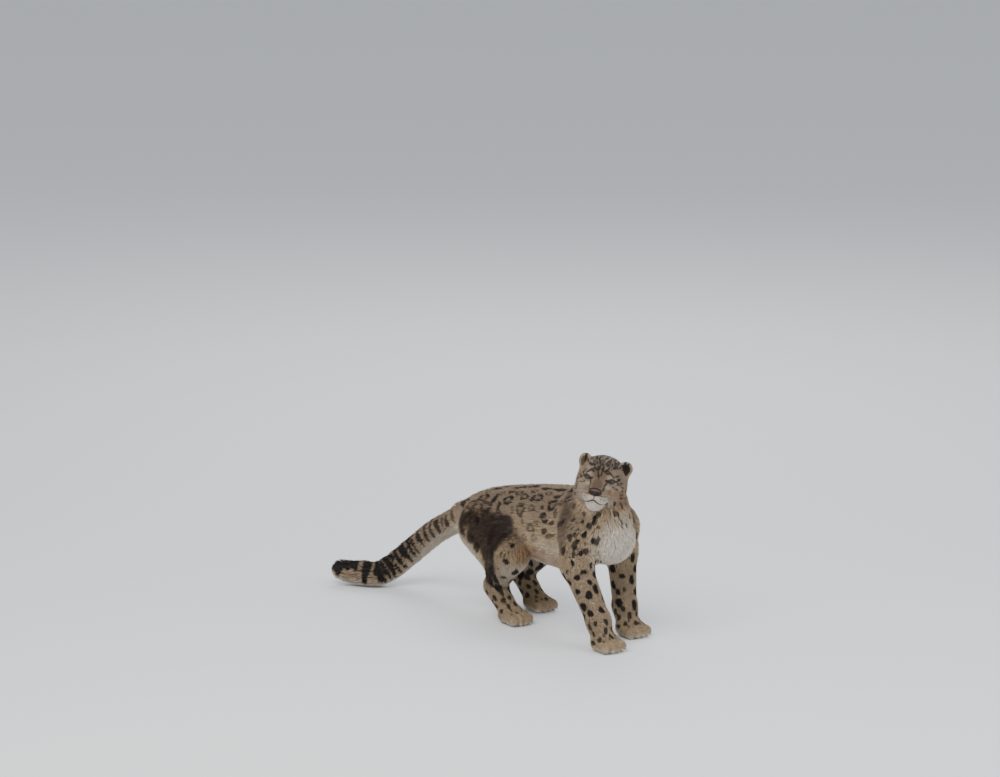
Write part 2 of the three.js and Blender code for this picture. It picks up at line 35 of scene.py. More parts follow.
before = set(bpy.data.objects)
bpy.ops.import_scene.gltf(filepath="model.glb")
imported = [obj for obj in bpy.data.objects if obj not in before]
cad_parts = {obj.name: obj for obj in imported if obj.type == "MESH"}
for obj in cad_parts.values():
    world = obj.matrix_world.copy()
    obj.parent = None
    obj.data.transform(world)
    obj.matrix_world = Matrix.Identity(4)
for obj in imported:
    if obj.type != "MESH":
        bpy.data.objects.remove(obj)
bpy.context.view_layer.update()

# The leopard is shaped in millimetres, as its solids are, and set down in metres.
METRES = 0.001
STANCE = np.array((-2.0, 20.0, 0.0))
SEED = 7

# Sizes repeated from the solids. Each radius is measured to the tips of the coat.
CHEST_RADIUS = 130
BREAST_RADIUS = 96
LOIN_RADIUS = 112
RUMP_RADIUS = 98
TAIL_RADIUS = 44
TAIL_TIP_RADIUS = 37
FOREARM_RADIUS = 42
SHANK_RADIUS = 42
PAW_LENGTH = 118
FORE_SPREAD = 21
HIND_SPREAD = 19
TOES = (-1.5, -0.5, 0.5, 1.5)
SKULL_RADIUS = 56
EYE_RADIUS = 14
EYE_WIDTH = 23
EYE_HEIGHT = 12


def at(x, y, z):
    return np.array((x, y, z), float)


UP = at(0, 0, 1)
SIDEWAYS = at(0, 1, 0)
FORELEGS = (
    {"side": -1, "shoulder": at(455, -90, 345), "elbow": at(472, -116, 262), "wrist": at(560, -98, 92),
     "paw": at(600, -97, 0)},
    {"side": 1, "shoulder": at(440, 90, 345), "elbow": at(425, 112, 262), "wrist": at(462, 95, 92),
     "paw": at(500, 92, 0)},
)
HINDLEGS = (
    {"side": -1, "hip": at(-40, -60, 294), "knee": at(140, -106, 226), "hock": at(50, -93, 108),
     "paw": at(138, -89, 0)},
    {"side": 1, "hip": at(-45, 60, 294), "knee": at(78, 106, 225), "hock": at(-40, 93, 108),
     "paw": at(50, 89, 0)},
)
TAIL_BASE = at(-205, 0, 278)
WITHERS = at(440, -5, 400)
NAPE = at(500, -40, 488)
TRUNK_LINE = [
    TAIL_BASE,
    at(-120, 0, 298),
    at(-35, 0, 308),
    at(80, 0, 322),
    at(245, 0, 334),
    at(380, 0, 345),
    at(470, -8, 350),
]
TRUNK_RADII = [
    TAIL_RADIUS + 4,
    RUMP_RADIUS - 22,
    RUMP_RADIUS,
    LOIN_RADIUS,
    CHEST_RADIUS,
    CHEST_RADIUS,
    BREAST_RADIUS,
]
TAIL_LINE = [
    at(-140, 0, 288),
    TAIL_BASE,
    at(-280, 1, 239),
    at(-354, -1, 197),
    at(-424, -13, 142),
    at(-473, -40, 93),
    at(-499, -75, 60),
    at(-520, -108, 44),
    at(-553, -133, 43),
    at(-590, -155, 43),
    at(-620, -174, 48),
]

# The head's own axes run forward, left and up from its middle. It looks over the right shoulder.
HEAD_CENTRE = at(521, -51, 538)
HEAD_YAW, HEAD_PITCH, HEAD_ROLL = np.radians((-50, -6, -10.5))


def turned(axis, angle):
    """The matrix of a turn about x, y or z."""
    c, s = math.cos(angle), math.sin(angle)
    i, j = [(1, 2), (2, 0), (0, 1)][axis]
    matrix = np.eye(3)
    matrix[i, i] = matrix[j, j] = c
    matrix[i, j], matrix[j, i] = -s, s
    return matrix


HEAD_AXES = turned(2, HEAD_YAW) @ turned(1, HEAD_PITCH) @ turned(0, HEAD_ROLL)


def on_head(forward, left, up):
    return HEAD_AXES @ at(forward, left, up) + HEAD_CENTRE


def head_way(forward, left, up):
    way = HEAD_AXES @ at(forward, left, up)
    return way / np.linalg.norm(way)


def in_head(points):
    """Places in the head's own forward, left and up."""
    return (points - HEAD_CENTRE) @ HEAD_AXES


def unit(v):
    return v / np.maximum(np.linalg.norm(v, axis=-1, keepdims=True), 1e-9)


def smoothstep(low, high, x):
    t = np.clip((x - low) / (high - low), 0, 1)
    return t * t * (3 - 2 * t)


# Smooth lines through a few points, as the solids have them.
def smooth_line(points, t):
    """Places on the smooth line through the points, for t from 0 to 1."""
    points = np.asarray(points, float)
    last = len(points) - 1
    scaled = np.clip(np.atleast_1d(t), 0, 1) * last
    start = np.minimum(scaled.astype(int), last - 1)
    w = (scaled - start)[:, None]
    padded = np.vstack((2 * points[0] - points[1], points, 2 * points[-1] - points[-2]))
    p0, p1, p2, p3 = (padded[start + k] for k in range(4))
    gaps = (p1 - p0, p2 - p1, p3 - p2)
    d0, d1, d2 = (np.linalg.norm(gap, axis=1, keepdims=True) ** 0.5 for gap in gaps)
    m1 = ((p1 - p0) / d0 - (p2 - p0) / (d0 + d1) + (p2 - p1) / d1) * d1
    m2 = ((p2 - p1) / d1 - (p3 - p1) / (d1 + d2) + (p3 - p2) / d2) * d1
    return p1 + m1 * w + (-3 * p1 + 3 * p2 - 2 * m1 - m2) * w**2 + (2 * p1 - 2 * p2 + m1 + m2) * w**3


def smooth_numbers(values, t):
    """Numbers that pass smoothly through the given ones, for t from 0 to 1."""
    values = np.asarray(values, float)
    last = len(values) - 1
    scaled = np.clip(np.atleast_1d(t), 0, 1) * last
    start = np.minimum(scaled.astype(int), last - 1)
    w = scaled - start
    padded = np.concatenate((values[:1], values, values[-1:]))
    p0, p1, p2, p3 = (padded[start + k] for k in range(4))
    m1, m2 = (p2 - p0) / 2, (p3 - p1) / 2
    return (2 * p1 - 2 * p2 + m1 + m2) * w**3 + (-3 * p1 + 3 * p2 - 2 * m1 - m2) * w**2 + m1 * w + p1


TAIL_STEPS = 200
tail_walk = smooth_line(TAIL_LINE, np.linspace(0, 1, TAIL_STEPS + 1))
tail_reach = np.concatenate(([0], np.cumsum(np.linalg.norm(np.diff(tail_walk, axis=0), axis=1))))
TAIL_LENGTH = tail_reach[-1]


# A body mass is a row of short cones with round ends. Coat is how deep its fur stands over the skin, tuft how
# long the fur is, and lie which way it lies: +1 or -1 along the mass, or a direction.
CONES_A_SPAN = 3
FAR = 60.0


class Mass:
    def __init__(self, points, radii, blend, flat=None, coat=10.0, tuft=30.0, lie=1, region="trunk"):
        spans = (len(points) - 1) * CONES_A_SPAN if len(points) > 2 else 1
        t = np.arange(spans + 1) / spans
        self.joints = smooth_line(points, t)
        self.radii = smooth_numbers(radii, t)
        self.blend, self.coat, self.tuft, self.region = blend, coat, tuft, region
        way, factor = flat or (UP, 1.0)
        self.way = way / np.linalg.norm(way)
        self.grow = 1 / factor - 1
        self.scale = min(1.0, factor)
        self.spread = max(1.0, factor)
        self.lie = lie

    def cones(self):
        for i in range(len(self.joints) - 1):
            along = self.joints[i + 1] - self.joints[i]
            along = along + self.way * (along @ self.way) * self.grow
            yield self.joints[i], along, self.radii[i], self.radii[i + 1]

    def cone_distance(self, cone, x, y, z):
        start, along, r0, r1 = cone
        x, y, z = x - start[0], y - start[1], z - start[2]
        if self.grow:
            off = (x * self.way[0] + y * self.way[1] + z * self.way[2]) * self.grow
            x, y, z = x + off * self.way[0], y + off * self.way[1], z + off * self.way[2]
        t = np.clip((x * along[0] + y * along[1] + z * along[2]) / (along @ along), 0, 1)
        gap = np.sqrt((x - t * along[0]) ** 2 + (y - t * along[1]) ** 2 + (z - t * along[2]) ** 2)
        return (gap - r0 - t * (r1 - r0)) * self.scale

    def on_points(self, p):
        """The distance of each point, and the way of the nearest cone."""
        nearest = np.full(len(p), 1e6)
        which = np.zeros(len(p), int)
        ways = []
        for i, cone in enumerate(self.cones()):
            d = self.cone_distance(cone, p[:, 0], p[:, 1], p[:, 2])
            closer = d < nearest
            nearest[closer] = d[closer]
            which[closer] = i
            ways.append(unit(self.joints[i + 1] - self.joints[i]))
        if np.ndim(self.lie):
            return nearest, np.broadcast_to(unit(np.asarray(self.lie, float)), p.shape)
        return nearest, np.array(ways)[which] * self.lie


def both_sides(make):
    return [mass for side in (-1, 1) for mass in make(side)]


NARROW = (SIDEWAYS, 0.87)
ACROSS = head_way(0, 1, 0)
BACKWARD = at(-1, 0, -0.25)


def build_masses():
    """Every mass of the body, in the order in which the solids join them."""
    masses = [
        Mass(TRUNK_LINE, TRUNK_RADII, 40, NARROW, coat=20, tuft=44, lie=BACKWARD),
        Mass([at(150, 0, 282), at(330, 0, 278)], [66, 74], 60, coat=36, tuft=64, lie=at(-0.8, 0, -0.6),
             region="belly"),
        Mass([WITHERS, NAPE, on_head(-42, 0, -2)], [112, 77, 62], 45, coat=20, tuft=44, lie=at(-0.6, 0, -0.8),
             region="neck"),
        Mass([at(512, -10, 335), at(524, -36, 410), on_head(-20, 0, -62)], [84, 76, 44], 30, coat=26, tuft=56,
             lie=at(-0.1, 0, -1), region="breast"),
    ]
    for leg in FORELEGS:
        side = leg["side"]
        blade = at(leg["shoulder"][0] - 40, side * 68, 408)
        masses += [
            Mass([blade, leg["shoulder"]], [46, 60], 50, (SIDEWAYS, 0.8), coat=17, tuft=40,
                 lie=at(-0.45, 0, -0.9), region="shoulder"),
            Mass([leg["shoulder"], leg["elbow"]], [60, 51], 40, coat=15, tuft=36,
                 lie=at(-0.3, 0, -1), region="shoulder"),
        ]
    for leg in HINDLEGS:
        buttock = at(leg["hip"][0] - 34, leg["side"] * 60, 262)
        hamstring = at(leg["hock"][0] + 2, leg["side"] * 90, 172)
        masses += [
            Mass([leg["hip"], leg["knee"]], [84, 55], 45, (SIDEWAYS, 0.82), coat=17, tuft=40,
                 lie=at(-0.2, 0, -1), region="haunch"),
            Mass([buttock, hamstring], [66, 42], 45, (SIDEWAYS, 0.85), coat=16, tuft=40,
                 lie=at(-0.2, 0, -1), region="haunch"),
        ]
    for leg in FORELEGS:
        paw = leg["paw"]
        toe = at(paw[0] + 26, paw[1], 22)
        masses += [
            Mass([leg["elbow"], leg["wrist"]], [FOREARM_RADIUS + 8, FOREARM_RADIUS - 3], 30, coat=9, tuft=24,
                 region="leg"),
            Mass([leg["wrist"], at(paw[0] - 18, paw[1], 34)], [FOREARM_RADIUS - 3, 38], 20, coat=7, tuft=18,
                 region="leg"),
            Mass([at(paw[0] - 14, paw[1], 27), toe], [33, 27], 20, (SIDEWAYS, 1.4), coat=6, tuft=14,
                 region="paw"),
        ] + toe_masses(paw, FORE_SPREAD)
    for leg in HINDLEGS:
        paw = leg["paw"]
        toe = at(paw[0] + 26, paw[1], 21)
        masses += [
            Mass([leg["knee"], leg["hock"]], [55, SHANK_RADIUS - 4], 35, (SIDEWAYS, 0.88), coat=11, tuft=28,
                 lie=at(-0.2, 0, -1), region="leg"),
            Mass([leg["hock"], at(paw[0] - 22, paw[1], 34)], [SHANK_RADIUS - 5, 34], 20, coat=7, tuft=18,
                 region="leg"),
            Mass([at(paw[0] - 20, paw[1], 26), toe], [31, 26], 20, (SIDEWAYS, 1.4), coat=6, tuft=14,
                 region="paw"),
        ] + toe_masses(paw, HIND_SPREAD)
    masses += head_masses()
    tail_radii = [TAIL_TIP_RADIUS + (10 - i) * 4 if i > 8 else TAIL_RADIUS for i in range(len(TAIL_LINE))]
    masses.append(Mass(TAIL_LINE, tail_radii, 30, coat=19, tuft=46, region="tail"))
    return masses


def toe_reach(place):
    """How far before the middle of the paw a toe's end has its middle."""
    return PAW_LENGTH / 2 - 18 - abs(place) * 6


def toe_masses(paw, spread):
    masses = []
    for place in TOES:
        reach = toe_reach(place)
        root = at(paw[0] + 5, paw[1] + place * spread * 0.8, 24)
        tip = at(paw[0] + reach, paw[1] + place * spread, 19)
        masses.append(Mass([root, tip], [20, 19], 9, coat=4, tuft=10, region="paw"))
    return masses


def head_masses():
    """The head, from the crown to the chin. The cheeks carry the short ruff."""
    def part(start, end, radii, blend, coat, tuft, wide=1.0):
        flat = None if wide == 1 else (ACROSS, wide)
        return Mass([on_head(*start), on_head(*end)], radii, blend, flat, coat, tuft, 0, "head")

    masses = [
        part((-42, 0, 8), (0, 0, 16), [SKULL_RADIUS + 1, SKULL_RADIUS], 25, 7, 15, 1.16),
        part((4, 0, 28), (32, 0, 20), [40, 32], 20, 5, 10, 1.25),
    ]
    masses += both_sides(lambda side: [
        part((-16, side * 46, -16), (24, side * 41, -26), [36, 28], 22, 9, 20),
        part((-12, side * 46, -48), (26, side * 32, -58), [34, 25], 22, 12, 26),
        part((58, side * 19, -48), (73, side * 17, -53), [23, 20], 9, 3, 6),
        part((32, side * 40, 20), (42, side * 22, 20), [12, 13], 10, 3, 7),
    ])
    masses += [
        part((28, 0, 2), (78, 0, -25), [26, 16], 16, 2.5, 6, 1.4),
        part((30, 0, -34), (64, 0, -46), [38, 28], 16, 4, 8, 1.12),
        part((-4, 0, -58), (50, 0, -72), [38, 26], 18, 9, 20, 1.2),
        part((54, 0, -76), (66, 0, -79), [20, 18], 12, 4, 9, 1.15),
    ]
    return masses


MASSES = build_masses()
EAR_FACE = {side: head_way(0.92, side * 0.4, 0) for side in (-1, 1)}
EARS = {side: Mass([on_head(-14, side * 54, 22), on_head(-20, side * 64, 40)], [29, 26], 12,
                   (EAR_FACE[side], 0.5), coat=1.5, tuft=7, lie=head_way(-0.1, side * 0.6, 0.8), region="ear")
        for side in (-1, 1)}


def ear_cup(side, p):
    """Below zero inside the hollow of an ear."""
    out = head_way(-0.4, side * 0.92, 0)
    up = np.cross(EAR_FACE[side], out)
    q = p - on_head(-7, side * 67, 41)
    scaled = np.stack((q @ EAR_FACE[side] / 13, q @ out / 18, q @ up / 20), -1)
    return (np.linalg.norm(scaled, axis=-1) - 1) * 11


EYE_PLACE = {side: on_head(41, side * 36, 4) for side in (-1, 1)}
EYE_WAY = {side: head_way(0.94, side * 0.3, 0.08) for side in (-1, 1)}


def eye_axes(side):
    """Across, up and out, the eye's own axes."""
    out = EYE_WAY[side]
    up = head_way(0, 0, 1)
    across = unit(np.cross(up, out))
    return across, np.cross(out, across), out


def almond(side, x):
    """The upper and lower edge of the open lids, at a place across the eye."""
    t = np.clip((x / EYE_WIDTH * 2 + 1) / 2, 0, 1)
    bow = 2 * t * (1 - t) * EYE_HEIGHT
    slant = -side * (1 - 2 * t)
    return bow * 0.85 + slant, slant - bow


def smooth_min(a, b, blend):
    h = np.maximum(blend - np.abs(a - b), 0) / blend
    return np.minimum(a, b) - h * h * blend / 4


# The body as two fields of distance, to the coat's tips and to the skin, on a grid that is finer at the head.
COARSE = 5.0
FINE = 2.0
BOX_LOW = at(-672, -222, -8)
BOX_HIGH = at(672, 182, 628)
HEAD_LOW = at(396, -140, 436)
HEAD_HIGH = at(624, 72, 628)


def grid_axis(low, fine_low, fine_high, high):
    before = np.arange(low, fine_low, COARSE)
    beyond = np.arange(fine_high, high, COARSE)
    return np.concatenate((before, np.arange(fine_low, fine_high, FINE), beyond))


AXES = [grid_axis(BOX_LOW[k], HEAD_LOW[k], HEAD_HIGH[k], BOX_HIGH[k]) for k in range(3)]


def block_of(low, high):
    """The part of the grid between two corners."""
    ends = [np.searchsorted(axis, (low[k], high[k])) for k, axis in enumerate(AXES)]
    return tuple(slice(first, last) for first, last in ends)


def open_grid(block):
    x, y, z = (axis[part].astype(np.float32) for axis, part in zip(AXES, block))
    return x[:, None, None], y[None, :, None], z[None, None, :]


def field_grids():
    """The distance to the tips of the coat and to the skin, each mass worked out only round its own cones."""
    shape = [len(axis) for axis in AXES]
    tips = np.full(shape, FAR, np.float32)
    skin = np.full(shape, FAR, np.float32)
    for mass in MASSES + list(EARS.values()):
        margin = mass.blend + mass.coat + 12
        reach = mass.radii.max() * mass.spread + margin
        whole = block_of(mass.joints.min(0) - reach, mass.joints.max(0) + reach)
        nearest = np.full([part.stop - part.start for part in whole], 1e3, np.float32)
        for cone in mass.cones():
            ends = np.array((cone[0], cone[0] + cone[1]))
            radius = max(cone[2], cone[3]) * mass.spread + margin
            part = block_of(ends.min(0) - radius, ends.max(0) + radius)
            inner = tuple(slice(max(a.start - b.start, 0), a.stop - b.start) for a, b in zip(part, whole))
            part = tuple(slice(b.start + c.start, b.start + c.start + nearest[inner].shape[k])
                         for k, (b, c) in enumerate(zip(whole, inner)))
            d = mass.cone_distance(cone, *open_grid(part))
            nearest[inner] = np.minimum(nearest[inner], d)
        tips[whole] = smooth_min(tips[whole], nearest, mass.blend)
        skin[whole] = smooth_min(skin[whole], nearest + mass.coat, mass.blend)
    press_toes(tips)
    press_toes(skin)
    floor = -AXES[2][None, None, :].astype(np.float32)
    return np.maximum(tips, floor), np.maximum(skin, floor + 3)


def press_toes(field):
    """The furrows between the toes."""
    for legs, spread in ((FORELEGS, FORE_SPREAD), (HINDLEGS, HIND_SPREAD)):
        for leg in legs:
            paw = leg["paw"]
            block = block_of(at(paw[0] - 10, paw[1] - 50, -5), at(paw[0] + 80, paw[1] + 50, 60))
            x, y = open_grid(block)[:2]
            for place in (-1, 0, 1):
                fan = paw[1] + place * spread * (0.85 + 0.15 * np.clip((x - paw[0]) / 40, 0, 1))
                furrow = np.exp(-(((y - fan) / 4.0) ** 2)) * np.clip((x - paw[0] - 4) / 22, 0, 1)
                field[block] += 5.5 * furrow


def carve_face(skin):
    """Lids over the eyeballs, the open almonds between them, the nose's seat and the hollows of the ears."""
    block = block_of(HEAD_LOW, HEAD_HIGH)
    x, y, z = np.meshgrid(*(axis[part] for axis, part in zip(AXES, block)), indexing="ij")
    p = np.stack((x, y, z), -1)
    face = skin[block]
    for side in (-1, 1):
        across, up, out = eye_axes(side)
        q = p - EYE_PLACE[side]
        lid = np.linalg.norm(q, axis=-1) - EYE_RADIUS - 2.4
        face = smooth_min(face, lid, 7.0)
        high, low = almond(side, q @ across)
        height = q @ up
        opening = np.maximum(height - high, low - height)
        behind = -(q @ out)
        face = np.maximum(face, -np.maximum(np.maximum(opening, behind), 0.5 * opening))
        face = np.maximum(face, -ear_cup(side, p))
    nose = unit_ball(p, NOSE_PLACE, NOSE_HALF)
    face = np.maximum(face, -(nose + 1.5))
    skin[block] = face
    return skin


NOSE_PLACE = on_head(87, 0, -33)
NOSE_HALF = at(11, 17, 11)


def unit_ball(p, centre, half):
    q = (p - centre) @ HEAD_AXES
    return (np.linalg.norm(q / half, axis=-1) - 1) * half.min()


def sample(grid, p):
    """The grid's value at each point, between its eight nearest values."""
    index, share = [], []
    for k, axis in enumerate(AXES):
        i = np.clip(np.searchsorted(axis, p[:, k]) - 1, 0, len(axis) - 2)
        index.append(i)
        share.append(np.clip((p[:, k] - axis[i]) / (axis[i + 1] - axis[i]), 0, 1))
    total = np.zeros(len(p))
    for corner in range(8):
        bits = [(corner >> k) & 1 for k in range(3)]
        weight = np.ones(len(p))
        for k in range(3):
            weight = weight * (share[k] if bits[k] else 1 - share[k])
        total += weight * grid[index[0] + bits[0], index[1] + bits[1], index[2] + bits[2]]
    return total


def slope(grid, p, step=3.0):
    """The direction in which the grid's distance grows fastest."""
    ways = [sample(grid, p + step * e) - sample(grid, p - step * e) for e in np.eye(3)]
    return unit(np.stack(ways, -1))


def hit(grid, starts, ways, reach=220.0, step=2.0):
    """Where rays from inside the body come out."""
    p = starts.copy()
    gone = np.zeros(len(p))
    for _ in range(int(reach / step)):
        d = sample(grid, p)
        move = np.where(d < 0, np.clip(-d, 0.2, 12), 0)
        gone += move
        p = starts + ways * gone[:, None]
        if not move.any():
            break
    return p


def surface_net(grid):
    """A closed mesh of four-sided faces where the grid passes through zero."""
    inside = (grid < 0).astype(np.int8)
    n = inside.shape
    count = np.zeros([m - 1 for m in n], np.int8)
    for corner in range(8):
        part = tuple(slice((corner >> k) & 1, n[k] - 1 + ((corner >> k) & 1)) for k in range(3))
        count += inside[part]
    cells = np.argwhere((count > 0) & (count < 8))
    values = np.empty((len(cells), 8))
    places = np.empty((len(cells), 8, 3))
    for corner in range(8):
        bits = np.array([(corner >> k) & 1 for k in range(3)])
        c = cells + bits
        values[:, corner] = grid[c[:, 0], c[:, 1], c[:, 2]]
        for k in range(3):
            places[:, corner, k] = AXES[k][c[:, k]]
    total = np.zeros((len(cells), 3))
    crossings = np.zeros(len(cells))
    for a in range(8):
        for k in range(3):
            b = a | (1 << k)
            if b == a:
                continue
            cross = (values[:, a] < 0) != (values[:, b] < 0)
            t = values[cross, a] / (values[cross, a] - values[cross, b])
            total[cross] += places[cross, a] + t[:, None] * (places[cross, b] - places[cross, a])
            crossings[cross] += 1
    vertices = total / crossings[:, None]
    number = np.full([m - 1 for m in n], -1, np.int32)
    number[cells[:, 0], cells[:, 1], cells[:, 2]] = np.arange(len(cells))
    faces = []
    for k in range(3):
        u, v = (k + 1) % 3, (k + 2) % 3
        first = [slice(1, m - 1) for m in n]
        second = list(first)
        first[k], second[k] = slice(0, n[k] - 1), slice(1, n[k])
        a, b = inside[tuple(first)], inside[tuple(second)]
        edges = np.argwhere(a != b)
        leaving = a[edges[:, 0], edges[:, 1], edges[:, 2]] > 0
        edges[:, u] += 1
        edges[:, v] += 1
        ring = []
        for du, dv in ((0, 0), (-1, 0), (-1, -1), (0, -1)):
            c = edges.copy()
            c[:, u] += du
            c[:, v] += dv
            ring.append(number[c[:, 0], c[:, 1], c[:, 2]])
        ring = np.stack(ring, 1)
        ring[~leaving] = ring[~leaving][:, ::-1]
        faces.append(ring)
    return vertices, np.concatenate(faces)


def mesh_object(name, vertices, faces, metres=True):
    """A mesh object from arrays of points in millimetres and faces of one length."""
    mesh = bpy.data.meshes.new(name)
    places = (np.asarray(vertices) + STANCE) * METRES if metres else np.asarray(vertices)
    faces = np.asarray(faces)
    mesh.vertices.add(len(places))
    mesh.vertices.foreach_set("co", places.astype(np.float32).ravel())
    mesh.loops.add(faces.size)
    mesh.loops.foreach_set("vertex_index", faces.astype(np.int32).ravel())
    mesh.polygons.add(len(faces))
    mesh.polygons.foreach_set("loop_start", np.arange(0, faces.size, faces.shape[1], dtype=np.int32))
    mesh.update(calc_edges=True)
    mesh.validate()
    made = bpy.data.objects.new(name, mesh)
    bpy.context.scene.collection.objects.link(made)
    return made


def write_attribute(mesh, name, values):
    layer = mesh.attributes.new(name, "FLOAT", "POINT")
    layer.data.foreach_set("value", np.asarray(values, np.float32))


# How the fur lies, how long it is and which region each place belongs to.
NOSE_TIP = on_head(96, 0, -36)
REGIONS = ["trunk", "belly", "neck", "breast", "shoulder", "haunch", "leg", "paw", "head", "tail", "ear"]


def coat_facts(p):
    """Lie, tuft length and the share of each region, melted from the masses near each point."""
    lie = np.zeros_like(p)
    tuft = np.zeros(len(p))
    total = np.zeros(len(p))
    shares = np.zeros((len(p), len(REGIONS)))
    for mass in MASSES + list(EARS.values()):
        reach = mass.radii.max() * mass.spread + 40
        near = np.all((p > mass.joints.min(0) - reach) & (p < mass.joints.max(0) + reach), axis=1)
        if not near.any():
            continue
        d, way = mass.on_points(p[near])
        if mass.region == "head":
            way = unit(p[near] - NOSE_TIP + head_way(-1, 0, -0.35) * 30)
        weight = np.exp(-np.clip(d + mass.coat, -40, 200) / (4 if mass.region in ("head", "ear") else 10))
        lie[near] += way * weight[:, None]
        tuft[near] += mass.tuft * weight
        shares[near, REGIONS.index(mass.region)] += weight
        total[near] += weight
    total = np.maximum(total, 1e-12)
    return unit(lie), tuft / total, shares / total[:, None]


# The marks that the right side and the front show, each set on the photo: its place, half length along
# the coat, half width, ring and darkness.
SPOT_DEPTH = 15.0
BREAST_WHITE = (at(585, -24, 305), at(80, 78, 92))
FLANK_MARKS = [
    (-36, -76, 386, 17, 14, 0.8, 0.9), (14, -73, 388, 7, 15, 0, 0.85), (87, -77, 395, 19, 16, 0.9, 0.9),
    (51, -87, 370, 7, 13, 0, 0.8), (76, -51, 418, 14, 7, 0, 0.85), (159, -71, 419, 17, 11, 0.6, 0.8),
    (227, -75, 429, 22, 14, 0.9, 0.85), (277, -96, 408, 8, 7, 0, 0.75), (318, -90, 424, 22, 16, 0.9, 0.85),
    (320, -66, 450, 15, 7, 0, 0.8), (302, -109, 379, 14, 14, 0.9, 0.9), (351, -109, 404, 16, 14, 0.9, 0.8),
    (224, -97, 396, 14, 9, 0.5, 0.5), (238, -113, 333, 18, 13, 0.6, 0.55), (193, -108, 347, 5, 11, 0, 0.45),
    (333, -114, 324, 17, 6, 0, 0.6), (412, -111, 460, 15, 9, 0.4, 0.8), (-23, -25, 409, 18, 6, 0, 0.9),
    (16, -13, 421, 24, 6, 0, 0.9), (92, -27, 433, 26, 6, 0, 0.9), (150, -23, 446, 28, 6, 0, 0.9),
    (231, -37, 456, 26, 6, 0, 0.9), (298, -36, 465, 26, 6, 0, 0.9), (409, -88, 489, 16, 6, 0, 0.85),
    (127, -98, 372, 9, 13, 0.5, 0.5), (268, -110, 358, 11, 8, 0.4, 0.4), (372, -100, 440, 11, 8, 0.4, 0.7),
    (190, -50, 440, 14, 7, 0.3, 0.75), (268, -58, 447, 13, 7, 0.3, 0.75), (120, -58, 424, 13, 8, 0.4, 0.75),
]
BREAST_MARKS = [
    (530, -116, 437, 12, 6, 0, 0.95), (548, -110, 413, 14, 7, 0, 0.95), (506, -124, 408, 8, 7, 0, 0.8),
    (522, -125, 366, 12, 7, 0, 0.95), (501, -136, 383, 7, 5, 0, 0.55), (506, -140, 345, 6, 7, 0, 0.9),
    (542, -105, 343, 11, 6, 0, 0.85), (543, -110, 373, 6, 5, 0, 0.45), (518, -134, 308, 10, 10, 0, 1.0),
    (587, -48, 462, 11, 6, 0, 0.9), (597, -40, 434, 10, 5, 0, 0.75), (582, 22, 412, 10, 5, 0, 0.75),
    (601, -10, 391, 11, 5, 0, 0.8), (525, 91, 360, 8, 5, 0, 0.65), (592, 1, 314, 5, 4, 0, 0.35),
    (571, 10, 467, 6, 8, 0, 0.75), (560, -92, 392, 5, 4, 0, 0.5), (575, 40, 380, 6, 5, 0, 0.6),
]
LEG_MARKS = [
    (501, -152, 304, 9, 7, 0, 0.75), (506, -161, 277, 10, 6, 0, 0.9), (533, -101, 264, 10, 6, 0, 0.9),
    (532, -133, 249, 7, 14, 0, 1.0), (519, -152, 230, 11, 11, 0, 1.0), (545, -120, 217, 11, 9, 0, 1.0),
    (488, -158, 209, 8, 8, 0, 0.9), (520, -152, 185, 7, 11, 0, 0.95), (554, -132, 178, 11, 12, 0, 1.0),
    (488, -170, 246, 6, 6, 0, 0.75), (473, 73, 192, 7, 14, 0, 1.0), (445, 59, 160, 11, 8, 0, 0.95),
    (467, 61, 141, 8, 9, 0, 0.9), (484, 76, 151, 7, 6, 0, 0.7), (152, -157, 247, 4, 5, 0, 0.7),
    (163, -156, 240, 4, 4, 0, 0.6), (150, -156, 233, 5, 4, 0, 0.65), (170, -154, 217, 9, 14, 0, 1.0),
    (131, -130, 152, 6, 13, 0, 0.95), (128, -152, 187, 6, 6, 0, 0.7), (176, -147, 249, 5, 5, 0, 0.6),
    (177, -132, 273, 8, 6, 0, 0.85),
]


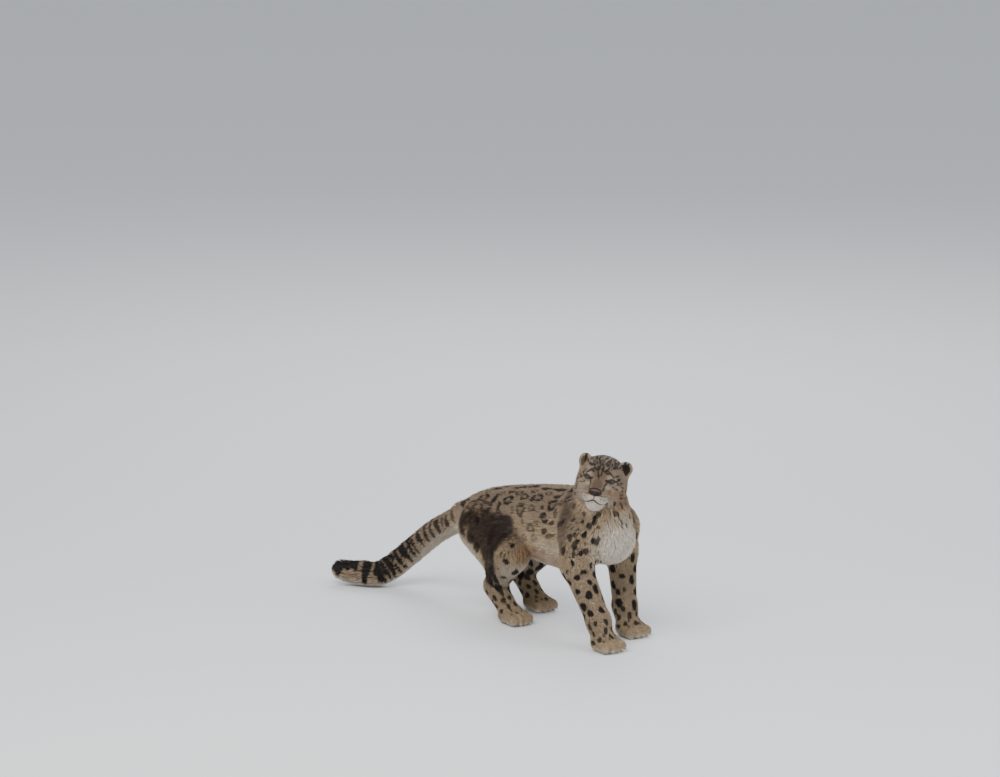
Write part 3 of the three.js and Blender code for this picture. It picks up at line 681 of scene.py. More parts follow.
# The marks of the coat. Each spot has a place on the skin, two axes, two half sizes and whether it is a ring.
class Spots:
    def __init__(self, draw):
        self.draw = draw
        self.rows = []

    def add(self, places, along, across, ring=0.0, dark=1.0, lie=None, clear=0.0):
        """Spots at places, stretched along the lie of the coat and clear of those that are there."""
        if not len(places):
            return
        normal = slope(FIELDS["skin"], places)
        way = coat_facts(places)[0] if lie is None else np.broadcast_to(lie, places.shape)
        way = unit(way - normal * np.sum(way * normal, 1, keepdims=True))
        side = np.cross(normal, way)
        taken = [row[0] for row in self.rows] if clear else []
        for i, p in enumerate(places):
            size = self.draw.uniform(0.85, 1.15)
            if clear and np.linalg.norm((p - BREAST_WHITE[0]) / BREAST_WHITE[1]) < 1:
                continue
            if not len(taken) or np.min(np.linalg.norm(np.array(taken) - p, axis=1)) > clear:
                phase = self.draw.uniform(0, 6.28, 4)
                self.rows.append((p, way[i], side[i], along * size, across * size, ring, dark, phase))

    def darkness(self, p):
        """The shape and strength of the spots at each point and the grey hearts of the rings, from 0 to 1."""
        dark = np.zeros(len(p))
        strong = np.full(len(p), 0.85)
        heart = np.zeros(len(p))
        order = np.argsort(p[:, 0])
        lengthwise = p[order, 0]
        for centre, way, side, along, across, ring, strength, phase in self.rows:
            reach = max(along, across) * 1.5
            depth = SPOT_DEPTH + 1.5 * max(along, across)
            deep = np.hypot(reach, depth)
            first, last = np.searchsorted(lengthwise, (centre[0] - deep, centre[0] + deep))
            near = order[first:last]
            q = p[near] - centre
            flat = np.maximum(np.abs(q @ way), np.abs(q @ side)) < reach
            level = np.abs(q @ np.cross(way, side)) < depth
            near, q = near[flat & level], q[flat & level]
            u, v = q @ way / along, q @ side / across
            turn = np.arctan2(v, u)
            edge = 1 + 0.13 * np.sin(2 * turn + phase[0]) + 0.1 * np.sin(3 * turn + phase[1])
            r = np.hypot(u, v) / edge
            blob = np.clip(1.5 - r, 0, 1)
            if ring:
                gaps = 0.95 + 0.28 * np.sin(3 * turn + phase[2]) + 0.18 * np.sin(5 * turn + phase[3])
                heart[near] = np.maximum(heart[near], (1 - smoothstep(0.5, 0.9, r)) * ring * strength)
                blob = np.clip(1.2 - np.abs(r - 0.74) / 0.42, 0, 1) * np.clip(gaps, 0.4, 1)
            stronger = blob > dark[near]
            dark[near[stronger]] = blob[stronger]
            strong[near[stronger]] = strength
        return dark, strong, heart


def trunk_centre(x):
    """The middle of the trunk at each length along it."""
    line = np.array(TRUNK_LINE)
    return np.stack((x, np.zeros_like(x), np.interp(x, line[:, 0], line[:, 2])), -1)


# How far apart the guessed marks of the trunk stay.
TRUNK_CLEAR = 36


def spots_round_trunk(spots, draw):
    """Streaks along the spine, rosettes on the flanks, and faint spots low down."""
    rows = [
        (7, 38, 17, 5, 0.0, 0.9, -180, 400),
        (24, 44, 17, 11, 0.6, 0.85, -160, 390),
        (42, 52, 22, 17, 0.9, 0.9, -150, 370),
        (62, 58, 24, 20, 0.9, 0.9, -140, 350),
        (84, 60, 23, 19, 0.85, 0.75, -120, 340),
        (106, 58, 18, 13, 0.6, 0.55, -60, 330),
        (128, 58, 14, 10, 0.0, 0.4, 60, 320),
    ]
    for side in (1, -1):
        for n, (angle, step, along, across, ring, dark, low, high) in enumerate(rows):
            x = np.arange(low + (n % 2) * step / 2, high, step)
            x = x + draw.uniform(-0.16, 0.16, len(x)) * step
            turn = np.radians(angle + draw.uniform(-5, 5, len(x)))
            ways = np.stack((np.zeros_like(x), side * np.sin(turn), np.cos(turn)), -1)
            faint = 1.0 if side > 0 else 0.8
            places = hit(FIELDS["skin"], trunk_centre(x), ways)
            spots.add(places, along, across, ring, dark * faint, BACKWARD, TRUNK_CLEAR)


def seen_marks(spots):
    """The marks set one by one."""
    tables = ((FLANK_MARKS, BACKWARD, 1.25), (BREAST_MARKS, None, 1.0), (LEG_MARKS, None, 1.1))
    for marks, lie, size in tables:
        for *place, along, across, ring, dark in marks:
            strength = min(1, dark * 1.15)
            spots.add(np.array([place], float), along * size, across * size, ring, strength, lie)


def spots_on_limb(spots, draw, start, end, step, around, size, dark):
    """Rings of solid spots round a limb."""
    length = np.linalg.norm(end - start)
    way = (end - start) / length
    one = unit(np.cross(way, SIDEWAYS))
    two = np.cross(way, one)
    for n, reach in enumerate(np.arange(step / 2, length, step)):
        turn = (np.arange(around) + 0.5 * (n % 2)) * 2 * np.pi / around + draw.uniform(-0.2, 0.2, around)
        centres = start + way * (reach + draw.uniform(-0.15, 0.15, around) * step)[:, None]
        ways = one * np.cos(turn)[:, None] + two * np.sin(turn)[:, None]
        spots.add(hit(FIELDS["skin"], centres, ways), size * 1.1, size * 0.85, 0, dark, None, size * 1.9)


def spots_on_shoulders(spots, draw):
    """Small solid spots over the shoulders, the neck and the sides of the breast."""
    lines = [
        (at(455, -30, 400), at(470, -40, 270), 42, 7, 12, 0.85),
        (at(455, 30, 400), at(450, 40, 270), 42, 7, 12, 0.85),
        (at(500, -24, 360), at(515, -42, 470), 34, 9, 8.5, 0.75),
    ]
    for start, end, step, around, size, dark in lines:
        spots_on_limb(spots, draw, start, end, step, around, size, dark)


def spots_on_legs(spots, draw):
    for leg in FORELEGS:
        spots_on_limb(spots, draw, leg["elbow"], leg["wrist"], 38, 6, 13, 1.0)
        foot = at(leg["paw"][0] - 10, leg["paw"][1], 24)
        spots_on_limb(spots, draw, leg["wrist"], foot, 26, 7, 9, 0.9)
    for leg in HINDLEGS:
        spots_on_limb(spots, draw, leg["hip"], leg["knee"], 48, 6, 19, 0.85)
        spots_on_limb(spots, draw, leg["knee"], leg["hock"], 34, 6, 14, 1.0)
        foot = at(leg["paw"][0] - 12, leg["paw"][1], 24)
        spots_on_limb(spots, draw, leg["hock"], foot, 26, 7, 9, 0.9)
    for leg in FORELEGS + HINDLEGS:
        x = leg["paw"][0] + np.array([22, 26, 26, 22, 6, 8])
        y = leg["paw"][1] + np.array([-30, -10, 11, 30, -18, 19])
        starts = np.stack((x, y, np.full(len(x), 16.0)), -1)
        spots.add(hit(FIELDS["skin"], starts, np.broadcast_to(UP, starts.shape)), 6, 4.5, 0, 0.7)


def spots_on_head(spots, draw):
    """Small close spots on the crown, a line over each eye, rows on the cheeks and the lips' rows of dots."""
    def on_face(forward, left, up, start=(10, 0, -15)):
        return on_skin_from(start, forward, left, up)

    def mirrored(forward, left, up, along, across, dark, lie=None):
        lie = None if lie is None else head_way(lie[0], side * lie[1], lie[2])
        spots.add(on_face(forward, np.array(left) * side, up), along, across, 0, dark, lie)

    rows = [
        (70, 9, 2, 3.4), (64, 17, 4, 3.8), (57, 24, 5, 4.2), (48, 31, 6, 4.5),
        (38, 37, 7, 4.8), (27, 42, 7, 5.2), (14, 45, 8, 5.6), (0, 47, 8, 6.0),
        (-15, 47, 8, 6.4), (-31, 46, 7, 6.8), (-47, 40, 6, 7.2),
    ]
    for row, (forward, spread, count, size) in enumerate(rows):
        across = np.linspace(-spread, spread, count) + draw.uniform(-3, 3, count)
        level = np.full(count, 60.0) - 14 * (row < 2) - np.abs(across) * 0.35
        ahead = np.full(count, float(forward)) + draw.uniform(-4, 4, count)
        places = on_face(ahead, across, level, (0, 0, 0))
        spots.add(places[::2], size * 1.5, size * 0.85, 0, 0.95, head_way(-1, 0, 0.2))
        spots.add(places[1::2], size * 1.7, size * 1.25, 0.4, 0.95, head_way(-1, 0.3, 0.2))
    for up, spread, count in ((38, 34, 6), (20, 40, 6), (0, 40, 6), (-22, 36, 5)):
        across = np.linspace(-spread, spread, count) + draw.uniform(-4, 4, count)
        nape = on_face([-70] * count, across, [up] * count, (0, 0, 0))
        spots.add(nape, 9, 6.5, 0, 0.85, head_way(0, 0, -1))
    forehead = on_face([66, 64, 66], [-6, 5, -1], [22, 24, 12], (0, 0, 0))
    spots.add(forehead, 9, 2.8, 0, 0.85, head_way(-0.5, 0, 1))
    for side in (-1, 1):
        spots.add(on_face([54] * 4, np.array([20, 29, 38, 47]) * side, [24, 29, 28, 22]), 6.5, 3.0, 0, 0.85,
                  ACROSS)
        spots.add(on_face([58] * 4, np.array([10, 18, 27, 36]) * side, [32, 38, 40, 37]), 5.5, 3.0, 0, 0.9,
                  ACROSS)
        mirrored([60, 68], [22, 19], [-8, -21], 11, 3.2, 0.85, (0.7, -0.25, -0.65))
        mirrored([36, 28, 20, 10], [54, 60, 64, 67], [0, -4, -9, -15], 8, 3.4, 0.85, (-1, 0.2, -0.35))
        mirrored([46, 36, 26, 16], [50, 56, 60, 62], [-14, -20, -27, -35], 7, 3.0, 0.8, (-1, 0.2, -0.45))
        mirrored([20, 12, 10, 4], [60, 62, 64, 64], [10, -2, -24, -34], 6, 4, 0.85)
        mirrored([32, 22], [52, 56], [22, 14], 9, 3.4, 0.8, (-1, 0.3, 0.1))
        mirrored([4, -4, -10, -14], [62, 64, 60, 64], [-44, -62, -26, -44], 8, 5, 0.8)
        corner = on_face([46], [36 * side], [-69], (20, 0, -50))
        spots.add(corner, 6, 5, 0, 0.95 if side > 0 else 0.6, ACROSS)
        for up in (-38, -45, -52):
            mirrored([76, 70, 64], [18, 25, 31], [up, up - 1, up - 2], 3.6, 1.5, 0.8, (-1, 0.5, 0))


# The bars of the tail: how far along it, from 0 to 1, half width as a share of its length, and darkness.
TAIL_BARS = [
    (0.140, 0.014, 0.7), (0.204, 0.020, 0.85), (0.250, 0.013, 0.7), (0.296, 0.018, 0.9), (0.352, 0.015, 0.85),
    (0.410, 0.014, 0.9), (0.464, 0.014, 0.95), (0.520, 0.011, 0.95), (0.556, 0.013, 1.0), (0.604, 0.021, 1.0),
    (0.658, 0.015, 1.0), (0.697, 0.011, 1.0), (0.731, 0.017, 1.0), (0.766, 0.009, 1.0), (0.794, 0.015, 1.0),
    (0.855, 0.024, 1.0),
]
TAIL_BLACK_FROM = 0.895


def tail_place(p):
    """How far along the tail each point is, from 0 to 1, and its turn from the top."""
    nearest = np.zeros(len(p), int)
    best = np.full(len(p), 1e9)
    for i in range(0, len(tail_walk), 4):
        d = np.sum((p - tail_walk[i]) ** 2, 1)
        closer = d < best
        best[closer], nearest[closer] = d[closer], i
    way = unit(tail_walk[np.minimum(nearest + 2, TAIL_STEPS)] - tail_walk[np.maximum(nearest - 2, 0)])
    off = p - tail_walk[nearest]
    reach = (tail_reach[nearest] + np.sum(off * way, 1)) / TAIL_LENGTH
    across = unit(np.cross(way, UP))
    top = np.cross(across, way)
    return reach, np.arctan2(np.sum(off * across, 1), np.sum(off * top, 1))


def tail_marks(p):
    """Bars that grow bolder toward a black end with a pale underside."""
    reach, turn = tail_place(p)
    wobble = 0.006 * np.sin(turn * 2 + reach * 40) + 0.003 * np.sin(turn * 5 + reach * 90)
    dark = np.zeros(len(p))
    strong = np.full(len(p), 1.0)
    for place, half, strength in TAIL_BARS:
        short = smoothstep(0.45, 0.2, place)
        slim = 1 - 0.5 * smoothstep(1.2, 2.4, np.abs(turn))
        bar = np.clip(1.5 - np.abs(reach + wobble - place) / (half * slim), 0, 1)
        over = 1 - smoothstep(2.25 - 0.4 * short, 2.6 - 0.4 * short, np.abs(turn))
        split = 1 - short * np.exp(-((np.abs(turn) - 0.7) / 0.28) ** 2)
        bar = bar * over * split
        strong[bar > dark] = strength
        dark = np.maximum(dark, bar)
    low = 1.25 + 0.2 * np.sin(reach * 120) + 0.8 * smoothstep(0.97, 1.0, reach)
    end = smoothstep(TAIL_BLACK_FROM - 0.008, TAIL_BLACK_FROM + 0.012, reach)
    end = end * (1 - smoothstep(low - 0.25, low, np.abs(turn)))
    return np.maximum(dark, end), strong


STAINS = [
    (at(-36, -122, 306), at(64, 66, 44), 1.0),
    (at(45, -122, 312), at(66, 66, 44), 1.0),
    (at(112, -118, 312), at(42, 56, 42), 0.95),
    (at(24, -130, 268), at(66, 66, 42), 1.0),
    (at(92, -136, 268), at(44, 56, 38), 0.95),
    (at(68, -136, 216), at(52, 66, 56), 1.0),
    (at(64, -138, 168), at(38, 66, 46), 1.0),
    (at(-84, -112, 292), at(40, 62, 44), 0.9),
    (at(132, -138, 284), at(30, 50, 26), 0.9),
]
# Blotches behind the right shoulder: partly the darker fur there, partly painted shade of the crease between
# shoulder and flank.
FUR_AND_SHADE_BANDS = [
    (at(424, -120, 458), at(42, 62, 40)),
    (at(428, -130, 412), at(33, 62, 46)),
    (at(436, -148, 352), at(28, 54, 60)),
]


def blotch(p, centre, half, soft=0.45):
    r = np.linalg.norm((p - centre) / half, axis=1)
    return 1 - smoothstep(1 - soft, 1 + soft, r)


def face_dark(p, share):
    """The dark edges of the lids, and painted shade in the hollows of the ears."""
    dark = np.zeros(len(p))
    for side in (-1, 1):
        across, up, out = eye_axes(side)
        q = p - EYE_PLACE[side]
        high, low = almond(side, q @ across)
        opening = np.maximum(q @ up - high, low - q @ up)
        over = np.linalg.norm(q, axis=1) < 26
        dark = np.maximum(dark, (1 - smoothstep(2.4, 4.6, opening)) * over * 0.95 * share["head"])
        # Painted shade inside each ear's hollow, darker in the left ear than in the right.
        hollow = 1 - smoothstep(-2.0, 3.0, ear_cup(side, p))
        dark = np.maximum(dark, hollow * share["ear"] * (0.95 if side > 0 else 0.55))
    nose = 1 - smoothstep(1.5, 5.0, unit_ball(p, NOSE_PLACE, NOSE_HALF))
    return np.maximum(dark, nose * 0.85 * share["head"])


def ripple(p, size, seed):
    """A soft seeded unevenness between 0 and 1."""
    draw = np.random.default_rng(seed)
    total = np.zeros(len(p))
    for _ in range(6):
        way = unit(draw.normal(size=3))
        total += np.sin(p @ way / size * draw.uniform(0.7, 1.6) + draw.uniform(0, 6.28))
    return np.clip(0.5 + total / 6, 0, 1)


def paint(p, shares):
    """The coat's masks at each point: dark marks with painted shade in the ear hollows, grey hearts, buff
    back, white underside, stain and rust, the tan bridge, and darker fur with painted shade behind the right
    shoulder.
    """
    share = dict(zip(REGIONS, shares.T))
    dark, strong, heart = FIELDS["spots"].darkness(p)
    tail = share["tail"]
    bars, bold = tail_marks(p)
    dark = np.where(tail > 0.5, bars, dark)
    strong = np.where(tail > 0.5, bold, strong)
    normal = slope(FIELDS["skin"], p, 6.0)
    q = in_head(p)
    height = normal[:, 2]
    body = 1 - share["head"] - share["ear"]
    buff = smoothstep(-0.35, 0.75, height) * (1 - 0.55 * share["leg"] - 0.7 * share["paw"]) * body
    crown = share["head"] * (0.75 + 0.25 * smoothstep(-20, 30, q[:, 2])) + 0.7 * share["ear"]
    buff = np.maximum.reduce([buff, crown, 0.75 * tail, 0.45 * share["leg"]])
    white = body * smoothstep(0.1, 0.75, -height) * (1 - 0.7 * share["leg"] - 0.5 * tail)
    breast = blotch(p, at(580, -26, 305), at(86, 80, 105))
    white = np.maximum(white * (1 - 0.6 * share["belly"]), breast)
    chin = share["head"] * (1 - smoothstep(-62, -54, q[:, 2])) * smoothstep(34, 46, q[:, 0])
    middle = 1 - 0.4 * smoothstep(18, 28, np.abs(q[:, 1]))
    lip = share["head"] * smoothstep(60, 70, q[:, 0]) * (1 - smoothstep(-50, -42, q[:, 2])) * middle
    under_eye = sum(blotch(q, at(46, side * 34, -16), at(20, 16, 7)) for side in (-1, 1)) * share["head"]
    brow = sum(blotch(q, at(52, side * 30, 16), at(20, 13, 6)) for side in (-1, 1)) * share["head"]
    side_face = sum(blotch(q, at(34, side * 60, -30), at(26, 20, 22)) for side in (-1, 1)) * share["head"]
    white = np.maximum.reduce([white, chin, lip * 0.95, under_eye * 0.5, brow * 0.25, side_face * 0.25])
    muzzle = blotch(q, at(76, 0, -14), at(34, 18, 24))
    forehead = 0.6 * blotch(q, at(60, 0, 20), at(26, 24, 20))
    bridge = share["head"] * np.maximum(muzzle, forehead)
    # Dark lid edges and the dark seat of the nose, with painted shade in the ear hollows.
    edges = face_dark(p, share)
    strong = np.where(edges > dark, 0.95, strong)
    dark = np.maximum(dark, edges)
    rough = ripple(p, 26, 3)
    stain = np.max([blotch(p, c, h, 0.6) * s for c, h, s in STAINS], axis=0)
    stain = smoothstep(0.28, 0.78, stain + 0.3 * (rough - 0.5) + 0.45 * (ripple(p, 9, 4) - 0.5))
    stain *= 1 - smoothstep(-90, -140, p[:, 0])
    # Painted shade of the crease behind the right shoulder, with its darker fur, on the right side only.
    fur_and_shade_band = np.max([blotch(p, *b) for b in FUR_AND_SHADE_BANDS], axis=0) * (0.7 + 0.3 * ripple(p, 14, 5)) * (p[:, 1] < 0)
    cheek = share["head"] * blotch(q, at(46, 58, -36), at(24, 19, 19)) * 0.7
    behind = blotch(p, on_head(-6, 74, -50), at(34, 34, 34)) * 0.7
    belly = np.maximum(share["belly"], 0.8 * blotch(p, at(290, -90, 240), at(120, 70, 42)))
    belly = belly * smoothstep(0.2, 0.7, ripple(p, 30, 9))
    fore = blotch(p, at(300, -90, 225), at(70, 60, 44)) * 0.6
    rust = np.clip(np.maximum.reduce([cheek, behind, belly, fore]), 0, 1)
    white = np.clip(white, 0, 1)
    return {"dark": dark, "strong": strong, "heart": heart, "buff": buff, "white": white, "stain": stain,
            "rust": rust, "bridge": bridge, "fur_and_shade_band": fur_and_shade_band}


MASKS = ("dark", "strong", "heart", "buff", "white", "stain", "rust", "bridge", "fur_and_shade_band")


# Shader maths. A socket that takes part in sums, so that the sums read as sums do.
class Socket:
    def __init__(self, finish, output):
        self.finish = finish
        self.output = output

    def maths(self, operation, first, second):
        return self.finish.node("ShaderNodeMath", {"operation": operation}, {0: first, 1: second})

    def __add__(self, other):
        return self.maths("ADD", self, other)

    def __sub__(self, other):
        return self.maths("SUBTRACT", self, other)

    def __rsub__(self, other):
        return self.maths("SUBTRACT", other, self)

    def __mul__(self, other):
        return self.maths("MULTIPLY", self, other)

    __radd__ = __add__
    __rmul__ = __mul__


class Finish:
    """A material under construction."""

    def __init__(self, name):
        self.material = bpy.data.materials.new(name)
        self.material.use_nodes = True
        self.tree = self.material.node_tree
        self.tree.nodes.clear()

    def node(self, kind, settings=None, inputs=None, output=0):
        """Any node: its settings first, then the values or links of its sockets."""
        made = self.tree.nodes.new(kind)
        for key, value in (settings or {}).items():
            setattr(made, key, value)
        for key, value in (inputs or {}).items():
            if isinstance(value, Socket):
                self.tree.links.new(value.output, made.inputs[key])
            else:
                made.inputs[key].default_value = value
        return Socket(self, made.outputs[output]) if len(made.outputs) else None

    def mask(self, name):
        return self.node("ShaderNodeAttribute", {"attribute_name": name}, output=2)

    def colour(self, value):
        return (*value[:3], 1.0)

    def mix(self, share, a, b):
        a, b = (v if isinstance(v, Socket) else self.colour(v) for v in (a, b))
        return self.node("ShaderNodeMix", {"data_type": "RGBA"}, {0: share, 6: a, 7: b}, output=2)

    def place(self):
        return self.node("ShaderNodeTexCoord", output=3)

    def noise(self, scale, detail=3.0, vector=None):
        inputs = {"Scale": scale, "Detail": detail, "Vector": vector or self.place()}
        return self.node("ShaderNodeTexNoise", None, inputs)

    def bump(self, height, strength, distance):
        inputs = {"Height": height, "Strength": strength, "Distance": distance}
        return self.node("ShaderNodeBump", None, inputs)

    def surface(self, **inputs):
        sockets = {key.replace("_", " "): value for key, value in inputs.items()}
        shader = self.node("ShaderNodeBsdfPrincipled", None, sockets)
        self.node("ShaderNodeOutputMaterial", None, {"Surface": shader})
        return self.material


def coat_finish(name, coat):
    """Cream fur with the coat's masks. Tip and vary are there on tufts, and stay at nothing on the skin."""
    f = Finish(name)
    tip, vary = f.mask("tip"), f.mask("vary")
    patch = f.noise(9.0, 4.0)
    fine = f.noise(140.0, 3.0)
    base = f.mix(f.mask("buff"), coat.cream, coat.buff)
    base = f.mix(f.mask("white"), base, coat.white)
    base = f.mix(patch * 0.3 * f.mask("vary"), base, coat.buff)
    base = f.mix(f.mask("rust") * (patch * 0.8 + 0.55), base, coat.rust)
    base = f.mix(f.mask("bridge"), base, coat.bridge)
    base = f.mix(f.mask("heart") * 0.75, base, coat.heart)
    # Darkens the crease behind the right shoulder: painted shade together with the darker fur there.
    base = f.mix(f.mask("fur_and_shade_band") * 0.95, base, coat.fur_and_shade_band)
    base = f.mix(vary * 0.5 * (1 - f.mask("white") * 0.6), base, coat.under)
    base = f.mix((1 - tip) * 0.35 * (1 - f.mask("white") * 0.5), base, coat.under)
    base = f.mix(fine * 0.16, base, coat.under)
    edge = f.node("ShaderNodeMapRange", None, {0: f.mask("dark") + fine * 0.16, 1: 0.42, 2: 0.72})
    mark = edge * f.mask("strong")
    base = f.mix(mark, base, coat.mark)
    base = f.mix(f.mask("stain") * (patch * 0.5 + 0.74 - vary * 0.16), base, coat.stain)
    normal = f.bump(fine, 0.4, 0.002)
    return f.surface(Base_Color=base, Roughness=0.9 - patch * 0.15, Normal=normal, Specular_IOR_Level=0.12,
                     Sheen_Weight=0.06, Sheen_Roughness=0.6)


# More roots are drawn than are kept, by this factor, so that few cells of the thinning stay empty.
OVERDRAW = 2.2


# Tufts. Each is a closed tapered blade of three sides that rises from the skin and bends over along its lie.
def scatter(draw, vertices, faces, normals, spacing, wanted):
    """Roots spread evenly over the skin, closer where the spacing is small."""
    a, b, c = (vertices[faces[:, k]] for k in range(3))
    area = np.linalg.norm(np.cross(b - a, c - a), axis=1) / 2
    count = draw.poisson(area * wanted * OVERDRAW / spacing**2)
    which = np.repeat(np.arange(len(faces)), count)
    u, v = draw.random(len(which)), draw.random(len(which))
    fold = u + v > 1
    u[fold], v[fold] = 1 - u[fold], 1 - v[fold]
    shares = np.stack((1 - u - v, u, v), 1)[:, :, None]
    corner = faces[which]
    p = (vertices[corner] * shares).sum(1)
    n = (normals[corner] * shares).sum(1)
    tier = np.exp2(np.round(np.log2(spacing[which]) * 4) / 4)
    key = np.column_stack((np.floor(p / tier[:, None]), np.round(tier * 10))).astype(np.int64)
    first = np.sort(np.unique(key, axis=0, return_index=True)[1])
    return p[first], unit(n[first]), which[first]


def blades(paths, across, half_widths, half_depths, sides=3):
    """Closed tapered blades: rings of points along each path, and a point at its end."""
    n, count = len(paths), paths.shape[1] - 1
    forward = unit(np.gradient(paths, axis=1))[:, :count]
    side = np.broadcast_to(across[:, None, :], forward.shape)
    side = unit(side - forward * np.sum(side * forward, 2, keepdims=True))
    third = np.cross(forward, side)
    turn = np.pi / 2 + np.arange(sides) * 2 * np.pi / sides
    wide = half_widths[:, :, None, None] * np.cos(turn)[None, None, :, None]
    deep = half_depths[:, :, None, None] * np.sin(turn)[None, None, :, None]
    rings = paths[:, :count, None, :] + side[:, :, None, :] * wide + third[:, :, None, :] * deep
    vertices = np.concatenate((rings.reshape(n, count * sides, 3), paths[:, -1:, :]), 1)
    faces = [(0, k + 1, k) for k in range(1, sides - 1)]
    for ring in range(count - 1):
        for k in range(sides):
            a, b = ring * sides + k, ring * sides + (k + 1) % sides
            faces += [(a, b, b + sides), (a, b + sides, a + sides)]
    last = (count - 1) * sides
    faces += [(last + k, last + (k + 1) % sides, count * sides) for k in range(sides)]
    each = count * sides + 1
    faces = (np.arange(n) * each)[:, None, None] + np.array(faces)[None]
    return vertices.reshape(-1, 3), faces.reshape(-1, 3), each


def unwrap(kind, p):
    """A place for each root on an unwrap of the skin's own shape, in 0 to 1."""
    if kind == "tail":
        reach, turn = tail_place(p)
        flat = np.stack((reach, turn / (2 * np.pi) + 0.5), 1)
    elif kind == "head":
        q = in_head(p) - at(5, 0, -20)
        flat = np.stack((np.arctan2(q[:, 1], q[:, 0]), np.arctan2(q[:, 2], np.hypot(q[:, 0], q[:, 1]))), 1)
    elif kind == "leg":
        legs = FORELEGS + HINDLEGS
        tops = [leg.get("elbow", leg.get("knee")) for leg in legs]
        middles = [leg.get("wrist", leg.get("hock")) for leg in legs]
        flat = np.zeros((len(p), 2))
        best = np.full(len(p), 1e9)
        for n, leg in enumerate(legs):
            places = [leg["paw"][2], middles[n][2], tops[n][2]]
            x = np.interp(p[:, 2], places, [leg["paw"][0], middles[n][0], tops[n][0]])
            y = np.interp(p[:, 2], places, [leg["paw"][1], middles[n][1], tops[n][1]])
            off = np.hypot(p[:, 0] - x, p[:, 1] - y)
            near = off < best
            best[near] = off[near]
            turn = np.arctan2(p[:, 1] - y, p[:, 0] - x) / (2 * np.pi) + 0.5
            flat[near] = np.stack(((n + 0.05 + 0.9 * turn) / len(legs), p[:, 2] / 300), 1)[near]
    else:
        centre = trunk_centre(p[:, 0])
        turn = np.arctan2(p[:, 1], p[:, 2] - centre[:, 2])
        if kind == "breast":
            turn = np.arctan2(p[:, 1] + 30, p[:, 0] - 440)
            flat = np.stack((turn, p[:, 2]), 1)
        else:
            flat = np.stack((p[:, 0], turn), 1)
    low, high = flat.min(0), flat.max(0)
    return 0.01 + 0.98 * (flat - low) / np.maximum(high - low, 1e-6)


# How wide a tuft's patch is on the unwrap, and the most triangles of a piece and of the whole coat.
PATCH = 0.003
PIECE_LIMIT = 200000
COAT_LIMIT = 1500000


def grow(name, kind, roots, normals, look, draw):
    """One piece of the coat: a tuft at each root."""
    lie, tuft, shares = coat_facts(roots)
    swing = draw.normal(0, 0.24, len(roots))[:, None]
    lie = unit(lie - normals * np.sum(lie * normals, 1, keepdims=True))
    lie = lie * np.cos(swing) + np.cross(normals, lie) * np.sin(swing)
    depth = np.clip(-sample(FIELDS["tips"], roots), 1.5, 60)
    length = tuft * draw.uniform(0.8, 1.2, len(roots)) * look["length"]
    rise = depth * draw.uniform(0.72, 1.0, len(roots))
    run = np.sqrt(np.maximum(length**2 - rise**2, (0.5 * length) ** 2))
    end = roots + normals * rise[:, None] + lie * run[:, None]
    end[:, 2] -= 0.08 * run * shares[:, REGIONS.index("belly")]
    middle = roots + normals * (rise * 0.8)[:, None] + lie * (run * 0.32)[:, None]
    cell = np.floor(end / look["clump"]).astype(np.int64)
    _, group = np.unique(cell, axis=0, return_inverse=True)
    group = group.ravel()
    size = np.bincount(group)
    centres = np.stack([np.bincount(group, end[:, k]) / size for k in range(3)], 1)
    end += (centres[group] - end) * look["gather"]
    shade = draw.random(len(size))[group] * 0.6 + draw.random(len(roots)) * 0.4
    for place, allowed in ((end, -0.06 * depth), (middle, -0.22 * depth)):
        for _ in range(2):
            over = np.maximum(sample(FIELDS["tips"], place) - allowed, 0)
            place -= slope(FIELDS["tips"], place) * over[:, None]
        place[:, 2] = np.maximum(place[:, 2], 0.8)
    start = roots - normals * look["sink"]
    t = np.array([t for t, _ in look["rings"]] + [1.0])[None, :, None]
    paths = start[:, None] * (1 - t) ** 2 + 2 * middle[:, None] * t * (1 - t) + end[:, None] * t**2
    across = np.cross(normals, lie)
    fullness = np.array([w for _, w in look["rings"]])[None, :]
    width = look["width"] * draw.uniform(0.75, 1.25, len(roots))[:, None] * fullness / 2
    vertices, faces, each = blades(paths, across, width, width * 0.5)
    if len(faces) >= PIECE_LIMIT:
        raise RuntimeError(f"{name} has {len(faces)} triangles")
    piece = mesh_object(name, vertices, faces)
    mesh = piece.data
    seen = paths + (lie * draw.normal(0, look["stray"], len(roots))[:, None])[:, None]
    masks = paint(seen.reshape(-1, 3), np.repeat(shares, paths.shape[1], axis=0))
    ring = np.append(np.repeat(np.arange(paths.shape[1] - 1), 3), paths.shape[1] - 1)
    for key in MASKS:
        write_attribute(mesh, key, masks[key].reshape(len(roots), -1)[:, ring].ravel())
    along = np.concatenate((np.repeat(t[0, :-1, 0], 3), [1.0]))
    write_attribute(mesh, "tip", np.tile(along, len(roots)))
    write_attribute(mesh, "vary", np.repeat(shade, each))
    flat = np.repeat(unwrap(kind, roots), each, axis=0)
    corner = np.concatenate((np.tile((-0.5, 0.5, 0.0), paths.shape[1] - 1), [0.0]))
    flat = flat + np.stack((np.tile(corner, len(roots)), np.tile(along - 0.5, len(roots))), 1) * PATCH
    layer = mesh.uv_layers.new(name="OFBake")
    layer.data.foreach_set("uv", flat[faces.ravel()].astype(np.float32).ravel())
    mesh.materials.append(FINISHES["fur"])
    mesh.shade_smooth()
    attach(piece, "root")
    return piece


LONG = {"rings": ((0.0, 0.55), (0.5, 1.0), (0.8, 0.6)), "sink": 2.0, "clump": 15.0, "gather": 0.34,
        "length": 0.7,
        "stray": 1.6}
SHORT = {"rings": ((0.0, 0.6), (0.55, 1.0)), "sink": 1.0, "clump": 7.0, "gather": 0.25, "length": 0.85,
         "stray": 1.0}
FACE = {"rings": ((0.0, 0.6), (0.5, 1.0)), "sink": 0.6, "clump": 4.0, "gather": 0.15, "length": 0.9,
        "stray": 0.5}


